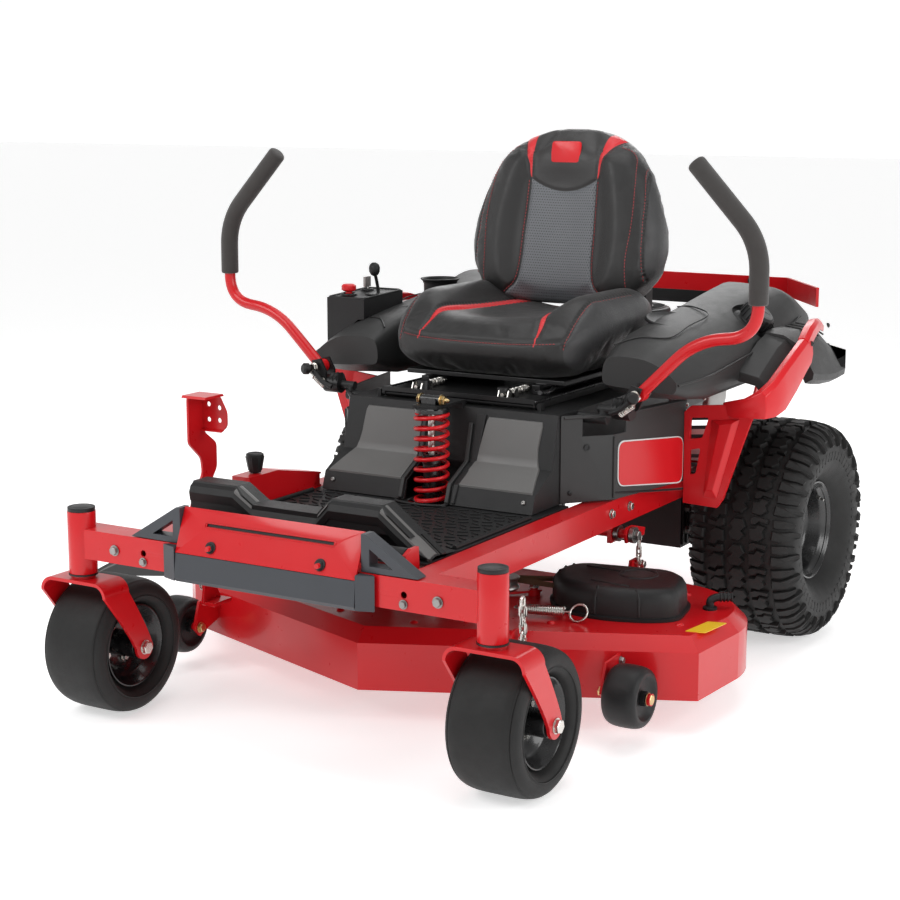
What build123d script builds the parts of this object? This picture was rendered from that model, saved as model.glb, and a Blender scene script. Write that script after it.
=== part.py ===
from build123d import *
from math import cos, radians, sin
import os

# Zero turn riding mower, millimetres. Every sub-part is drawn in the machine frame: X = 0 is the
# centre plane with +X the operator's left, the front faces -Y, Y = 0 is the rear axle and Z = 0 the
# ground. save() then moves each one to the row frame, whose origin is the bottom centre of the
# bounding box.

os.makedirs("parts", exist_ok=True)

# ---- driving dimensions ----
BOX_LEFT, BOX_RIGHT = 676.5, -985.0       # left lever's grip, tip of the discharge deflector
BOX_FRONT, BOX_REAR = -1368.7, 536.3      # caster tyres' front, engine guard's back: 1905 long

REAR_TYRE_R, REAR_TYRE_W = 254.0, 254.0   # 20 x 10-8 drive tyre
REAR_RIM_R, REAR_RIM_W = 101.6, 178.0
REAR_TRACK = 494.0                        # centre plane to wheel centre
AXLE_R = 15.0

CASTER_TYRE_R, CASTER_TYRE_W = 139.7, 150.0
CASTER_RIM_R, CASTER_RIM_W = 76.2, 114.0
CASTER_X, CASTER_Y, CASTER_TRAIL = 473.0, -1311.0, 82.0
STEM_R = 12.7
HEAD_TUBE_R, HEAD_TUBE_Z = 28.5, (305.0, 432.0)

RAIL_X, RAIL_W, RAIL_H, RAIL_Z = 310.0, 50.0, 60.0, 369.0
RAIL_FRONT, RAIL_REAR, RAIL_WALL = -1270.0, 330.0, 4.0
HITCH_Y = 503.0                           # hitch pin hole, behind the muffler

BLADE_R, BLADE_Z = 222.0, 80.0            # three blades cut a 50 inch swath
SPINDLE_X, SPINDLE_Y, CENTRE_SPINDLE_Y = 413.0, -600.0, -790.0
DECK_LIP_Z, DECK_BAND_Z, DECK_TOP_Z = 70.0, 168.0, 196.0
DECK_SKIN, DECK_END_R = 4.0, 235.0
PULLEY_R, BELT_Z = 62.0, 228.0

LEVER_FOOT = (402.0, -570.0, 636.0)
CONTROL_AXIS_Y, CONTROL_AXIS_Z = -570.0, 598.0
LEVER_TUBE_R, GRIP_R = 12.7, 20.0

PLATFORM_AXIS_Y, PLATFORM_AXIS_Z = -1245.0, 418.0
SEAT_AXIS_Y, SEAT_AXIS_Z = -628.0, 600.0
SHOCK_Y = -742.0
LIFT_Y, LIFT_Z = -497.0, 316.0            # cross shaft of the deck lift
PEDAL_AXIS = (-1120.0, 369.0)             # y, z of the lift pedal's pivot

RUN = 0.05                                # radial clearance of every running fit
LEFT, RIGHT = 1, -1

TO_ROW = Location((-(BOX_LEFT + BOX_RIGHT) / 2, -(BOX_FRONT + BOX_REAR) / 2, 0))


# ---- helpers ----
def save(piece, label):
    """Move a finished piece to the row frame, label it and write its STEP file."""
    placed = piece.moved(TO_ROW)
    placed.label = label
    export_step(placed, f"parts/{label}.step")


def block(x, y, z, mode=Mode.ADD):
    """Add a box to the open part from its (low, high) pair on each axis."""
    size = [high - low for low, high in (x, y, z)]
    with Locations(tuple(sum(pair) / 2 for pair in (x, y, z))):
        Box(*size, mode=mode)


def rod(start, end, radius, mode=Mode.ADD):
    """Add a round bar to the open part between two points."""
    way = Vector(*end) - Vector(*start)
    with Locations(Plane(origin=start, z_dir=way)):
        Cylinder(radius, way.length, align=(Align.CENTER, Align.CENTER, Align.MIN), mode=mode)


def side_plate(x, points, mode=Mode.ADD):
    """Add a plate between two x values from its outline, given as (y, z) points."""
    with BuildSketch(Plane.YZ.offset(x[0])) as outline:
        Polygon(*points, align=None)
    extrude(outline.sketch, amount=x[1] - x[0], mode=mode)


def front_plate(y, points, mode=Mode.ADD):
    """Add a plate between two y values from its outline, given as (x, z) points."""
    with BuildSketch(Plane.XZ.offset(-y[0])) as outline:
        Polygon(*points, align=None)
    extrude(outline.sketch, amount=y[0] - y[1], mode=mode)


def flat_plate(z, points, mode=Mode.ADD):
    """Add a plate between two heights from its outline, given as (x, y) points."""
    with BuildSketch(Plane.XY.offset(z[0])) as outline:
        Polygon(*points, align=None)
    extrude(outline.sketch, amount=z[1] - z[0], mode=mode)


def mirrored(points):
    """The same outline on the other side of the centre plane."""
    return [(-a, b) for a, b in points]


def wheel_plane(centre):
    """A sketch plane through a wheel's axle: local x along the axle, local y outwards."""
    return Plane(origin=centre, x_dir=(1, 0, 0), z_dir=(0, -1, 0))


# ---- main frame ----
with BuildPart() as frame_rails:
    with BuildSketch(Plane.XZ.offset(-RAIL_FRONT)):
        with Locations((RAIL_X, RAIL_Z), (-RAIL_X, RAIL_Z)):
            Rectangle(RAIL_W, RAIL_H)
            Rectangle(RAIL_W - 2 * RAIL_WALL, RAIL_H - 2 * RAIL_WALL, mode=Mode.SUBTRACT)
    extrude(amount=RAIL_FRONT - RAIL_REAR)
    rail_inner = RAIL_X - RAIL_W / 2
    # rear cross tube, shock cross member and rear hitch tab with its clevis pin hole
    block((-rail_inner, rail_inner), (290, 330), (345, 395))
    block((-rail_inner, rail_inner), (SHOCK_Y - 20, SHOCK_Y + 20), (345, 375))
    block((-45, 45), (330, HITCH_Y + 22), (356, 364))
    rod((0, HITCH_Y, 340), (0, HITCH_Y, 380), 9.5, Mode.SUBTRACT)
    # engine deck plate with the engine's crank hole
    flat_plate((399, 407), [(-335, -90), (335, -90), (335, 330), (-335, 330)])
    rod((0, 120, 390), (0, 120, 420), 45, Mode.SUBTRACT)
    # accessory bolt holes through the rear cross tube
    for x in (-200, 200):
        rod((x, 280, 370), (x, 340, 370), 5.25, Mode.SUBTRACT)
    # pivot boss of the lift pedal on the right rail
    rod((-335, *PEDAL_AXIS), (-360, *PEDAL_AXIS), 9)
    # hangers of the deck lift shaft
    for x in (-315, 305):
        block((x, x + 10), (LIFT_Y - 20, LIFT_Y + 20), (LIFT_Z - 20, 339))
        rod((x - 1, LIFT_Y, LIFT_Z), (x + 11, LIFT_Y, LIFT_Z), 11 + RUN, Mode.SUBTRACT)
save(frame_rails.part, "frame_rails")

BEAM_Y, BEAM_Z = (-1330.0, RAIL_FRONT), (339.0, 399.0)
with BuildPart() as front_frame:
    block((-CASTER_X, CASTER_X), BEAM_Y, BEAM_Z)
    block((-CASTER_X - 5, CASTER_X + 5), (BEAM_Y[0] + 4, BEAM_Y[1] - 4), (BEAM_Z[0] + 4, BEAM_Z[1] - 4),
          Mode.SUBTRACT)
    for side in (LEFT, RIGHT):
        head = side * CASTER_X
        rod((head, CASTER_Y, 300), (head, CASTER_Y, 440), HEAD_TUBE_R, Mode.SUBTRACT)
        block((min(head, head + side * 60), max(head, head + side * 60)), (-1400, -1200), (300, 440),
              Mode.SUBTRACT)
        # platform pivot ears
        side_plate((side * 262, side * 270),
                   [(-1275, 399), (-1275, 425), (-1255, 434), (-1230, 434), (-1226, 375), (-1270, 375)])
    rod((-270, PLATFORM_AXIS_Y, PLATFORM_AXIS_Z), (270, PLATFORM_AXIS_Y, PLATFORM_AXIS_Z), 8)
    # accessory bolt holes in the beam
    for x in (-300, 300):
        rod((x, -1340, 369), (x, -1260, 369), 6.5, Mode.SUBTRACT)
    # cutting-height bracket on the right rail, a bent box with a sloping top
    side_plate((-333, -287), [(-1000, 399), (-1000, 462), (-900, 462), (-740, 430), (-740, 399)])
    side_plate((-330, -290), [(-997, 402), (-997, 459), (-901, 459), (-743, 427), (-743, 402)],
               Mode.SUBTRACT)
    block((-340, -280), (-745, -735), (403, 426), Mode.SUBTRACT)
    rod((-310, -950, 440), (-310, -950, 470), 6 + RUN, Mode.SUBTRACT)
save(front_frame.part, "front_frame")

with BuildPart() as caster_housings:
    with Locations((CASTER_X, CASTER_Y, HEAD_TUBE_Z[0]), (-CASTER_X, CASTER_Y, HEAD_TUBE_Z[0])):
        Cylinder(HEAD_TUBE_R, HEAD_TUBE_Z[1] - HEAD_TUBE_Z[0],
                 align=(Align.CENTER, Align.CENTER, Align.MIN))
        Cylinder(20, HEAD_TUBE_Z[1] - HEAD_TUBE_Z[0],
                 align=(Align.CENTER, Align.CENTER, Align.MIN), mode=Mode.SUBTRACT)
save(caster_housings.part, "caster_housings")

with BuildPart() as caster_bearings:
    for side in (LEFT, RIGHT):
        for low in (HEAD_TUBE_Z[0] + 3, HEAD_TUBE_Z[1] - 21):
            rod((side * CASTER_X, CASTER_Y, low), (side * CASTER_X, CASTER_Y, low + 18), 20)
            rod((side * CASTER_X, CASTER_Y, low - 1), (side * CASTER_X, CASTER_Y, low + 19),
                STEM_R + RUN, Mode.SUBTRACT)
        # dust cap
        with Locations((side * CASTER_X, CASTER_Y, HEAD_TUBE_Z[1])):
            Cylinder(HEAD_TUBE_R - 1, 8, align=(Align.CENTER, Align.CENTER, Align.MIN))
save(caster_bearings.part, "caster_bearings")

# ---- front bumper: red plate, dark valance and wedge end caps ----
CREASE_Z = 387.0
with BuildPart() as bumper_plate:
    side_plate((-207, 207), [(-1347, CREASE_Z), (-1313, 471), (-1309, 470), (-1343, CREASE_Z)])
    # slot cut in the plate
    block((-146, 146), (-1340, -1300), (440, 446), Mode.SUBTRACT)
    # two mounting tabs back to the axle beam
    for x in (-126, 126):
        block((x - 15, x + 15), (-1343, -1330), (388, 397))
        rod((x, -1353, 404), (x, -1330, 404), 5)
save(bumper_plate.part, "bumper_plate")

with BuildPart() as bumper_valance:
    side_plate((-207, 207),
               [(-1347, CREASE_Z - 1), (-1352, 338), (-1346, 330), (-1336, 330), (-1336, 338), (-1348, 340),
                (-1343, CREASE_Z - 1)])
    for side in (LEFT, RIGHT):
        with BuildSketch(Plane.XY.offset(331)):
            Polygon((side * 208, -1350), (side * 243, -1338), (side * 236, -1331), (side * 208, -1331),
                    align=None)
        extrude(amount=67)
        # triangular wing above the beam
        wing = [(208, 400), (208, 470), (218, 470), (330, 401)]
        front_plate((-1329, -1300), wing if side == LEFT else mirrored(wing))
        window = [(226, 412), (226, 444), (276, 412)]
        front_plate((-1340, -1290), window if side == LEFT else mirrored(window), Mode.SUBTRACT)
save(bumper_valance.part, "bumper_valance")


# ---- wheels ----
def tyre(centre, radius, width, bore, rim_width, lip, wall, shoulder):
    """A hollow tyre whose beads sit between the rim's lips, open towards the rim."""
    half, bead = width / 2, rim_width / 2 - 3
    belly = bore + (radius - bore) * 0.45
    outer = [(bead, bore), (bead, bore + lip + 1), (half - 6, belly - 18), (half, belly),
             (half, radius - shoulder), (half - shoulder * 0.3, radius - shoulder * 0.3),
             (half - shoulder, radius)]
    inner = [(bead - wall, bore - 1), (bead - wall, bore + lip), (half - wall, belly),
             (half - wall, radius - shoulder), (half - shoulder, radius - wall)]
    with BuildPart() as ring:
        with BuildSketch(wheel_plane(centre)):
            Polygon(*outer, *mirrored(outer)[::-1], align=None)
            Polygon(*inner, *mirrored(inner)[::-1], align=None, mode=Mode.SUBTRACT)
        revolve(axis=Axis(centre, (1, 0, 0)))
    return ring.part


def rim(centre, radius, width, bore, disc_x, hub_half, lip, side):
    """A pressed steel rim: two lips, a barrel and a dished disc around a hub."""
    half = width / 2
    disc = side * disc_x
    with BuildPart() as wheel:
        with BuildSketch(wheel_plane(centre)):
            with Locations((0, radius - 3)):
                Rectangle(width, 6)
            for edge in (-half, half):
                with Locations((edge, radius + lip / 2 - 3)):
                    Rectangle(5, lip + 6)
            with Locations((disc, (radius + bore) / 2)):
                Rectangle(6, radius - bore - 2)
            with Locations((disc * 0.5, bore + 13)):
                Rectangle(hub_half * 2, 26)
            with Locations((0, bore / 2)):
                Rectangle(width * 3, bore, mode=Mode.SUBTRACT)
        revolve(axis=Axis(centre, (1, 0, 0)))
    return wheel.part


REAR_LIP, CASTER_LIP = 13.0, 9.0
for side, word in ((LEFT, "left"), (RIGHT, "right")):
    centre = (side * REAR_TRACK, 0, REAR_TYRE_R)
    save(tyre(centre, REAR_TYRE_R, REAR_TYRE_W, REAR_RIM_R, REAR_RIM_W, REAR_LIP, 12, 26),
         f"rear_tyre_{word}")
    with BuildPart() as rear_rim:
        add(rim(centre, REAR_RIM_R, REAR_RIM_W, AXLE_R, 10, 34, REAR_LIP, side))
        # drive shaft, wheel studs and nuts
        axle_inner, axle_outer = side * 330, side * (REAR_TRACK + 46)
        rod((axle_inner, 0, REAR_TYRE_R), (axle_outer, 0, REAR_TYRE_R), AXLE_R)
        for step in range(5):
            turn = radians(72 * step)
            y, z = 57 * sin(turn), REAR_TYRE_R + 57 * cos(turn)
            rod((side * (REAR_TRACK + 10), y, z), (side * (REAR_TRACK + 30), y, z), 9)
    save(rear_rim.part, f"rear_rim_{word}")

    # caster fork: stem, crown and two tapering legs, with the wheel's axle bolt
    x, axle_y = side * CASTER_X, CASTER_Y + CASTER_TRAIL
    with BuildPart() as fork:
        rod((x, CASTER_Y, 296), (x, CASTER_Y, 428), STEM_R)
        rod((x, CASTER_Y, 296), (x, CASTER_Y, 304), 26)
        flat_plate((288, 296), [(x - 84, CASTER_Y - 34), (x + 84, CASTER_Y - 34), (x + 84, CASTER_Y + 42),
                                (x - 84, CASTER_Y + 42)])
        for leg in (x - 84, x + 78):
            side_plate((leg, leg + 6), [(CASTER_Y - 34, 296), (CASTER_Y + 42, 296), (axle_y + 24, 150),
                                        (axle_y + 18, 122), (axle_y, 114), (axle_y - 18, 122)])
        rod((x - 94, axle_y, CASTER_TYRE_R), (x + 94, axle_y, CASTER_TYRE_R), 8)
        for end in (-94, 84):
            rod((x + end, axle_y, CASTER_TYRE_R), (x + end + 10, axle_y, CASTER_TYRE_R), 14)
    save(fork.part, f"caster_fork_{word}")
    centre = (x, axle_y, CASTER_TYRE_R)
    save(tyre(centre, CASTER_TYRE_R, CASTER_TYRE_W, CASTER_RIM_R, CASTER_RIM_W, CASTER_LIP, 9, 36),
         f"caster_tyre_{word}")
    with BuildPart() as caster_rim:
        add(rim(centre, CASTER_RIM_R, CASTER_RIM_W, 8 + RUN, 0, 70, CASTER_LIP, side))
    save(caster_rim.part, f"caster_rim_{word}")

# ---- transaxles ----
with BuildPart() as transaxles:
    for side in (LEFT, RIGHT):
        low, high = sorted((side * 120, side * 285))
        block((low, high), (-80, 110), (190, 335))
        rod((side * 285, 0, REAR_TYRE_R), (side * 391, 0, REAR_TYRE_R), 36)
        rod((side * 326, 0, REAR_TYRE_R), (side * 395, 0, REAR_TYRE_R), AXLE_R + RUN, Mode.SUBTRACT)
        # cooling fan cover and input pulley
        rod((side * 200, 10, 335), (side * 200, 10, 350), 70)
        # hanger plate up to the rail
        low, high = sorted((side * 262, side * 284))
        block((low, high), (60, 100), (335, 399))
save(transaxles.part, "transaxles")

# ---- engine ----
with BuildPart() as engine_block:
    block((-125, 125), (50, 250), (407, 560))
    for side in (LEFT, RIGHT):
        with BuildSketch(Plane.YZ.offset(side * 60)):
            with Locations((250, 520)):
                Rectangle(170, 120)
        extrude(amount=side * 95)
    rod((0, 120, 286), (0, 120, 407), 14)
save(engine_block.part, "engine_block")

with BuildPart() as blower_housing:
    with Locations((0, 190, 645)):
        Box(380, 250, 110)
    with Locations((0, 190, 700)):
        Cylinder(118, 24, align=(Align.CENTER, Align.CENTER, Align.MIN))
    block((-150, 150), (100, 280), (585, 640), Mode.SUBTRACT)
    fillet(blower_housing.edges().filter_by(Axis.Z).group_by(SortBy.LENGTH)[-1], 40)
save(blower_housing.part, "blower_housing")

with BuildPart() as muffler:
    rod((-170, 420, 480), (170, 420, 480), 62)
    for x in (-120, 120):
        rod((x, 335, 480), (x, 420, 480), 18)
    rod((140, 430, 440), (140, 500, 400), 17)
save(muffler.part, "muffler")

with BuildPart() as engine_guard:
    # back rail, corner wings and two posts down to the frame
    block((-300, 300), (530, 536.3), (732, 780))
    for side in (LEFT, RIGHT):
        plan = [(300, 536.3), (306, 533), (456, 335), (450, 331), (300, 529)]
        flat_plate((732, 780), plan if side == LEFT else mirrored(plan))
        low, high = sorted((side * 300, side * 306))
        side_plate((low, high), [(328, 407), (250, 407), (268, 440), (336, 540), (500, 732), (530, 732),
                                 (530, 700), (372, 516)])
save(engine_guard.part, "engine_guard")

# ---- side bodywork, one side drawn and mirrored where both are alike ----
POD_SECTIONS = {          # y: (x, z) corners from inner bottom round to inner top
    -512: [(288, 640), (452, 628), (462, 655), (400, 694), (288, 702)],
    -420: [(275, 608), (488, 606), (488, 652), (400, 726), (275, 738)],
    -60: [(275, 606), (488, 606), (488, 690), (390, 775), (275, 785)],
    150: [(275, 640), (488, 640), (488, 735), (420, 800), (275, 805)],
    205: [(285, 670), (480, 670), (480, 730), (420, 770), (285, 775)],
}
CAP_AT = (439.0, -60.0, 733.0)
CAP_TILT = 41.0                           # the cap faces outwards on the pod's slope
CAP_WAY = Vector(sin(radians(CAP_TILT)), 0, cos(radians(CAP_TILT)))


def pod(side):
    """A moulded side pod between the seat and the wheel, lofted through its cross sections."""
    with BuildPart() as shell:
        for y, corners in POD_SECTIONS.items():
            with BuildSketch(Plane.XZ.offset(-y)):
                Polygon(*(corners if side == LEFT else mirrored(corners)), align=None)
        loft(ruled=True)
    return shell.part


with BuildPart() as fuel_tank:
    add(pod(LEFT))
    neck = Vector(*CAP_AT) + CAP_WAY * 8
    rod(neck - CAP_WAY * 40, neck, 34)
save(fuel_tank.part, "fuel_tank")

with BuildPart() as fuel_cap:
    rod(neck + CAP_WAY * 0.5, neck + CAP_WAY * 34, 41)
save(fuel_cap.part, "fuel_cap")

with BuildPart() as storage_pod:
    add(pod(RIGHT))
    # cup holder
    rod((-385, -70, 690), (-385, -70, 830), 42, Mode.SUBTRACT)
save(storage_pod.part, "storage_pod")

with BuildPart() as rear_fenders:
    for side in (LEFT, RIGHT):
        section = [(489, 714), (522, 706), (604, 640), (604, 606), (580, 590), (489, 590)]
        front_plate((-250, 195), section if side == LEFT else mirrored(section))
        tunnel = [(495, 585), (495, 680), (560, 612), (575, 585)]
        front_plate((-240, 185), tunnel if side == LEFT else mirrored(tunnel), Mode.SUBTRACT)
        low, high = sorted((side * 544, side * 610))
        block((low, high), (-260, -93), (580, 700), Mode.SUBTRACT)
save(rear_fenders.part, "rear_fenders")

with BuildPart() as side_panels:
    plan = [(262, -655), (340, -560), (389, -301), (385, -301), (336.5, -557), (262, -649)]
    for side in (LEFT, RIGHT):
        flat_plate((403, 590), plan if side == LEFT else mirrored(plan))
        low, high = sorted((side * 292, side * 360))
        block((low, high), (-640, -520), (544, 600), Mode.SUBTRACT)
save(side_panels.part, "side_panels")

with BuildPart() as side_trims:
    for side in (LEFT, RIGHT):
        face = [(389, 355), (389, 560), (545, 585), (545, 560), (482, 375)]
        front_plate((-308, -298), face if side == LEFT else mirrored(face))
        for low, high in ((420, 470), (490, 535)):
            slot = [(405, low), (405, high), (430, high), (420, low)]
            front_plate((-320, -290), slot if side == LEFT else mirrored(slot), Mode.SUBTRACT)
        low, high = sorted((side * 560, side * 596))
        side_plate((low, high),
                   [(-308, 560), (-308, 606), (-262, 640), (-100, 711), (-96, 661), (-251, 560)])
        low, high = sorted((side * 545, side * 560))
        side_plate((low, high), [(-308, 560), (-308, 606), (-251, 632), (-251, 560)])
save(side_trims.part, "side_trims")

# ---- suspended operator platform ----
with BuildPart() as floor_pan:
    flat_plate((396, 400), [(-254, -1236), (254, -1236), (254, -1220), (280, -1220), (280, -650),
                            (-280, -650), (-280, -1220), (-254, -1220)])
    rod((0, SHOCK_Y, 390), (0, SHOCK_Y, 410), 52, Mode.SUBTRACT)
    for x in (-279, 275):
        block((x, x + 4), (-1220, -650), (376, 396))
        # notch over the shock cross member, so that the flange clears it at full travel
        block((x - 1, x + 5), (SHOCK_Y - 32, SHOCK_Y + 92), (370, 393), Mode.SUBTRACT)
    block((-255, 255), (-1239, -1233), (398, 412))
    rod((-255, PLATFORM_AXIS_Y, PLATFORM_AXIS_Z), (255, PLATFORM_AXIS_Y, PLATFORM_AXIS_Z), 14)
    rod((-256, PLATFORM_AXIS_Y, PLATFORM_AXIS_Z), (256, PLATFORM_AXIS_Y, PLATFORM_AXIS_Z), 8 + RUN,
        Mode.SUBTRACT)
    # moulded foot rest: two raised blocks with a lower ledge between, falling to the pan on the left
    front_plate((-1205, -1150),
                [(-280, 400), (-280, 493), (-173, 493), (-125, 462), (25, 462), (54, 493), (167, 493),
                 (280, 408), (280, 400)])
    side_plate((-280, 280), [(-1210, 470), (-1190, 500), (-1210, 500)], Mode.SUBTRACT)
    side_plate((-281, 281), [(-1210, 400), (-1210, 440), (-1165, 440), (-1165, 400)], Mode.SUBTRACT)
    side_plate((-254, 254), [(-1236, 396), (-1236, 400), (-1150, 400), (-1150, 396)])
save(floor_pan.part, "floor_pan")

with BuildPart() as seat_shroud:
    side_plate((-260, 260), [(-775, 402), (-762, 440), (-690, 480), (-662, 592), (-110, 592), (-110, 402)])
    side_plate((-256, 256), [(-770, 400), (-757, 438), (-686, 478), (-658, 588), (-100, 588), (-100, 400)],
               Mode.SUBTRACT)
    # recess for the shock absorber
    block((-50, 50), (-780, SHOCK_Y + 52), (399, 560), Mode.SUBTRACT)
    # under-structure that carries the shroud on the pan
    block((-256, 256), (-652, -646), (400, 588))
    # top perch of the shock
    block((-30, 30), (SHOCK_Y - 28, -655), (600, 606))
    block((-30, 30), (-665, -652), (588, 606))
    # hinge pin of the seat plate between two ears
    for x in (-204, 196):
        block((x, x + 8), (SEAT_AXIS_Y - 8, SEAT_AXIS_Y + 8), (590, 608))
    rod((-204, SEAT_AXIS_Y, SEAT_AXIS_Z), (204, SEAT_AXIS_Y, SEAT_AXIS_Z), 5)
    # control shafts, one each side
    for side in (LEFT, RIGHT):
        rod((side * 255, CONTROL_AXIS_Y, 576), (side * 328, CONTROL_AXIS_Y, 576), 11)
        rod((side * 318, CONTROL_AXIS_Y, 576), (side * 318, CONTROL_AXIS_Y, CONTROL_AXIS_Z), 10)
        rod((side * 308, CONTROL_AXIS_Y, CONTROL_AXIS_Z), (side * 372, CONTROL_AXIS_Y, CONTROL_AXIS_Z), 9)
save(seat_shroud.part, "seat_shroud")

with BuildPart() as shock_cylinder:
    rod((0, SHOCK_Y, 386), (0, SHOCK_Y, 396), 36)
    rod((0, SHOCK_Y, 375), (0, SHOCK_Y, 500), 19)
    rod((0, SHOCK_Y, 410), (0, SHOCK_Y, 501), 13, Mode.SUBTRACT)
save(shock_cylinder.part, "shock_cylinder")

with BuildPart() as shock_rod:
    rod((0, SHOCK_Y, 445), (0, SHOCK_Y, 600), 8)
    rod((0, SHOCK_Y, 590), (0, SHOCK_Y, 600), 36)
    rod((-26, SHOCK_Y, 616), (26, SHOCK_Y, 616), 6)
save(shock_rod.part, "shock_rod")

with BuildPart() as shock_spring:
    rod((0, SHOCK_Y, 398), (0, SHOCK_Y, 588), 38)
    rod((0, SHOCK_Y, 397), (0, SHOCK_Y, 589), 30, Mode.SUBTRACT)
save(shock_spring.part, "shock_spring")

# ---- seat ----
with BuildPart() as seat_plate:
    flat_plate((606, 610), [(-190, -636), (190, -636), (190, -130), (-190, -130)])
    for x in (-190, 186):
        side_plate((x, x + 4), [(-636, 606), (-636, 598), (-626, 593), (-130, 593), (-130, 606)])
    rod((-191, SEAT_AXIS_Y, SEAT_AXIS_Z), (191, SEAT_AXIS_Y, SEAT_AXIS_Z), 5 + RUN, Mode.SUBTRACT)
    block((-190, 190), (-640, -636), (606, 616))
    # the two suspension springs' seats
    with Locations((-100, -612, 610), (100, -612, 610)):
        Cylinder(13, 22, align=(Align.CENTER, Align.CENTER, Align.MIN))
save(seat_plate.part, "seat_plate")

with BuildPart() as seat_frame:
    for x in (-150, 130):
        block((x, x + 20), (-540, -190), (610.5, 630))
    block((-200, 200), (-520, -30), (630, 640))
    # backrest brackets
    for x in (-176, 168):
        side_plate((x, x + 8), [(-60, 640), (-30, 640), (-25, 900), (-53, 900), (-74, 800), (-64, 772),
                                (-60, 720)])
save(seat_frame.part, "seat_frame")

with BuildPart() as seat_cushion:
    with BuildSketch(Plane.XY.offset(640)):
        with Locations((0, -325)):
            Rectangle(440, 480)
    with BuildSketch(Plane.XY.offset(700)):
        with Locations((0, -325)):
            Rectangle(508, 525)
    with BuildSketch(Plane.XY.offset(764)):
        with Locations((0, -335)):
            Rectangle(440, 440)
    loft(ruled=True)
save(seat_cushion.part, "seat_cushion")

BACK_TILT = 12.0
with BuildPart() as seat_backrest:
    back_plane = Plane(origin=(0, -205, 796), x_dir=(1, 0, 0),
                       z_dir=(0, cos(radians(BACK_TILT)), -sin(radians(BACK_TILT))))
    with BuildSketch(back_plane):
        with BuildLine():
            Spline((-110, 0), (-235, -50), (-254, -115), (-215, -245), (-130, -370), (0, -404), (130, -370),
                   (215, -245), (254, -115), (235, -50), (110, 0))
            Line((110, 0), (-110, 0))
        make_face()
    extrude(amount=125)
save(seat_backrest.part, "seat_backrest")

# ---- steering levers ----
TUBE_TURNS = [(525, 757), (657, 772), (656, 960)]
TUBE_TOP, GRIP_START = (519, 1105), (656.5, 838)
for side, word in ((LEFT, "left"), (RIGHT, "right")):
    x = side * LEVER_FOOT[0]
    with BuildPart() as control_arm:
        rod((side * 345, CONTROL_AXIS_Y, CONTROL_AXIS_Z), (side * 385, CONTROL_AXIS_Y, CONTROL_AXIS_Z), 20)
        rod((side * 340, CONTROL_AXIS_Y, CONTROL_AXIS_Z), (side * 373, CONTROL_AXIS_Y, CONTROL_AXIS_Z),
            9 + RUN, Mode.SUBTRACT)
        for y in (-590, -556):
            front_plate((y, y + 6), [(side * 375, 590), (side * 375, 628), (x - side * 12, 656),
                                     (x + side * 12, 650), (side * 392, 600)])
        rod((x, -594, LEVER_FOOT[2]), (x, -546, LEVER_FOOT[2]), 6)
    save(control_arm.part, f"control_arm_{word}")
    with BuildPart() as lap_bar:
        with BuildLine() as route:
            corners = [(LEVER_FOOT[0], LEVER_FOOT[2])] + TUBE_TURNS + [TUBE_TOP]
            FilletPolyline(*[(side * a, LEVER_FOOT[1], b) for a, b in corners], radius=55)
        foot = route.line @ 0
        with BuildSketch(Plane(origin=foot, z_dir=route.line % 0)):
            Circle(LEVER_TUBE_R)
        sweep()
        rod((x, -583, LEVER_FOOT[2]), (x, -557, LEVER_FOOT[2]), 15)
        rod((x, -600, LEVER_FOOT[2]), (x, -540, LEVER_FOOT[2]), 6 + RUN, Mode.SUBTRACT)
    with BuildPart() as foam:
        with BuildLine() as grip_route:
            corners = [GRIP_START, TUBE_TURNS[-1], (TUBE_TOP[0] - 2, TUBE_TOP[1] + 2)]
            FilletPolyline(*[(side * a, LEVER_FOOT[1], b) for a, b in corners], radius=55)
        with BuildSketch(Plane(origin=grip_route.line @ 0, z_dir=grip_route.line % 0)):
            Circle(GRIP_R)
        sweep()
        add(lap_bar.part, mode=Mode.SUBTRACT)
    both = Compound(children=[lap_bar.part.solids()[0], foam.part.solids()[0]])
    save(both, f"lap_bar_{word}")

# ---- controls on the right console ----
PTO_AT, KEY_AT = (-452, -378), (-458, -290)
THROTTLE_X, THROTTLE_AXIS = -406.0, (-322.0, 756.0)
with BuildPart() as control_console:
    side_plate((-486, -382), [(-420, 630), (-420, 775), (-250, 782), (-250, 630)])
    add(pod(RIGHT), mode=Mode.SUBTRACT)
    rod((*PTO_AT, 745), (*PTO_AT, 800), 8 + RUN, Mode.SUBTRACT)
    rod((*KEY_AT, 745), (*KEY_AT, 800), 5 + RUN, Mode.SUBTRACT)
    block((THROTTLE_X - 5, THROTTLE_X + 5), (-350, -294), (746, 800), Mode.SUBTRACT)
save(control_console.part, "control_console")

with BuildPart() as pto_knob:
    rod((*PTO_AT, 750), (*PTO_AT, 796), 8)
    rod((*PTO_AT, 788), (*PTO_AT, 804), 17)
save(pto_knob.part, "pto_knob")

with BuildPart() as ignition_key:
    rod((*KEY_AT, 750), (*KEY_AT, 790), 5)
    block((KEY_AT[0] - 3, KEY_AT[0] + 3), (KEY_AT[1] - 12, KEY_AT[1] + 12), (790, 814))
save(ignition_key.part, "ignition_key")

with BuildPart() as throttle_lever:
    y, z = THROTTLE_AXIS
    side_plate((THROTTLE_X - 3, THROTTLE_X + 3), [(y - 3, z - 3), (y + 3, z - 3), (y + 3, 830), (y - 3, 830)])
    rod((THROTTLE_X - 4, y, z), (THROTTLE_X + 4, y, z), 5)
    rod((THROTTLE_X - 14, y, 840), (THROTTLE_X + 14, y, 840), 15)
save(throttle_lever.part, "throttle_lever")

# ---- cutting deck ----
POST_Y = LIFT_Y + 62                      # the chains hang under the lift arms' tips


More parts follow.
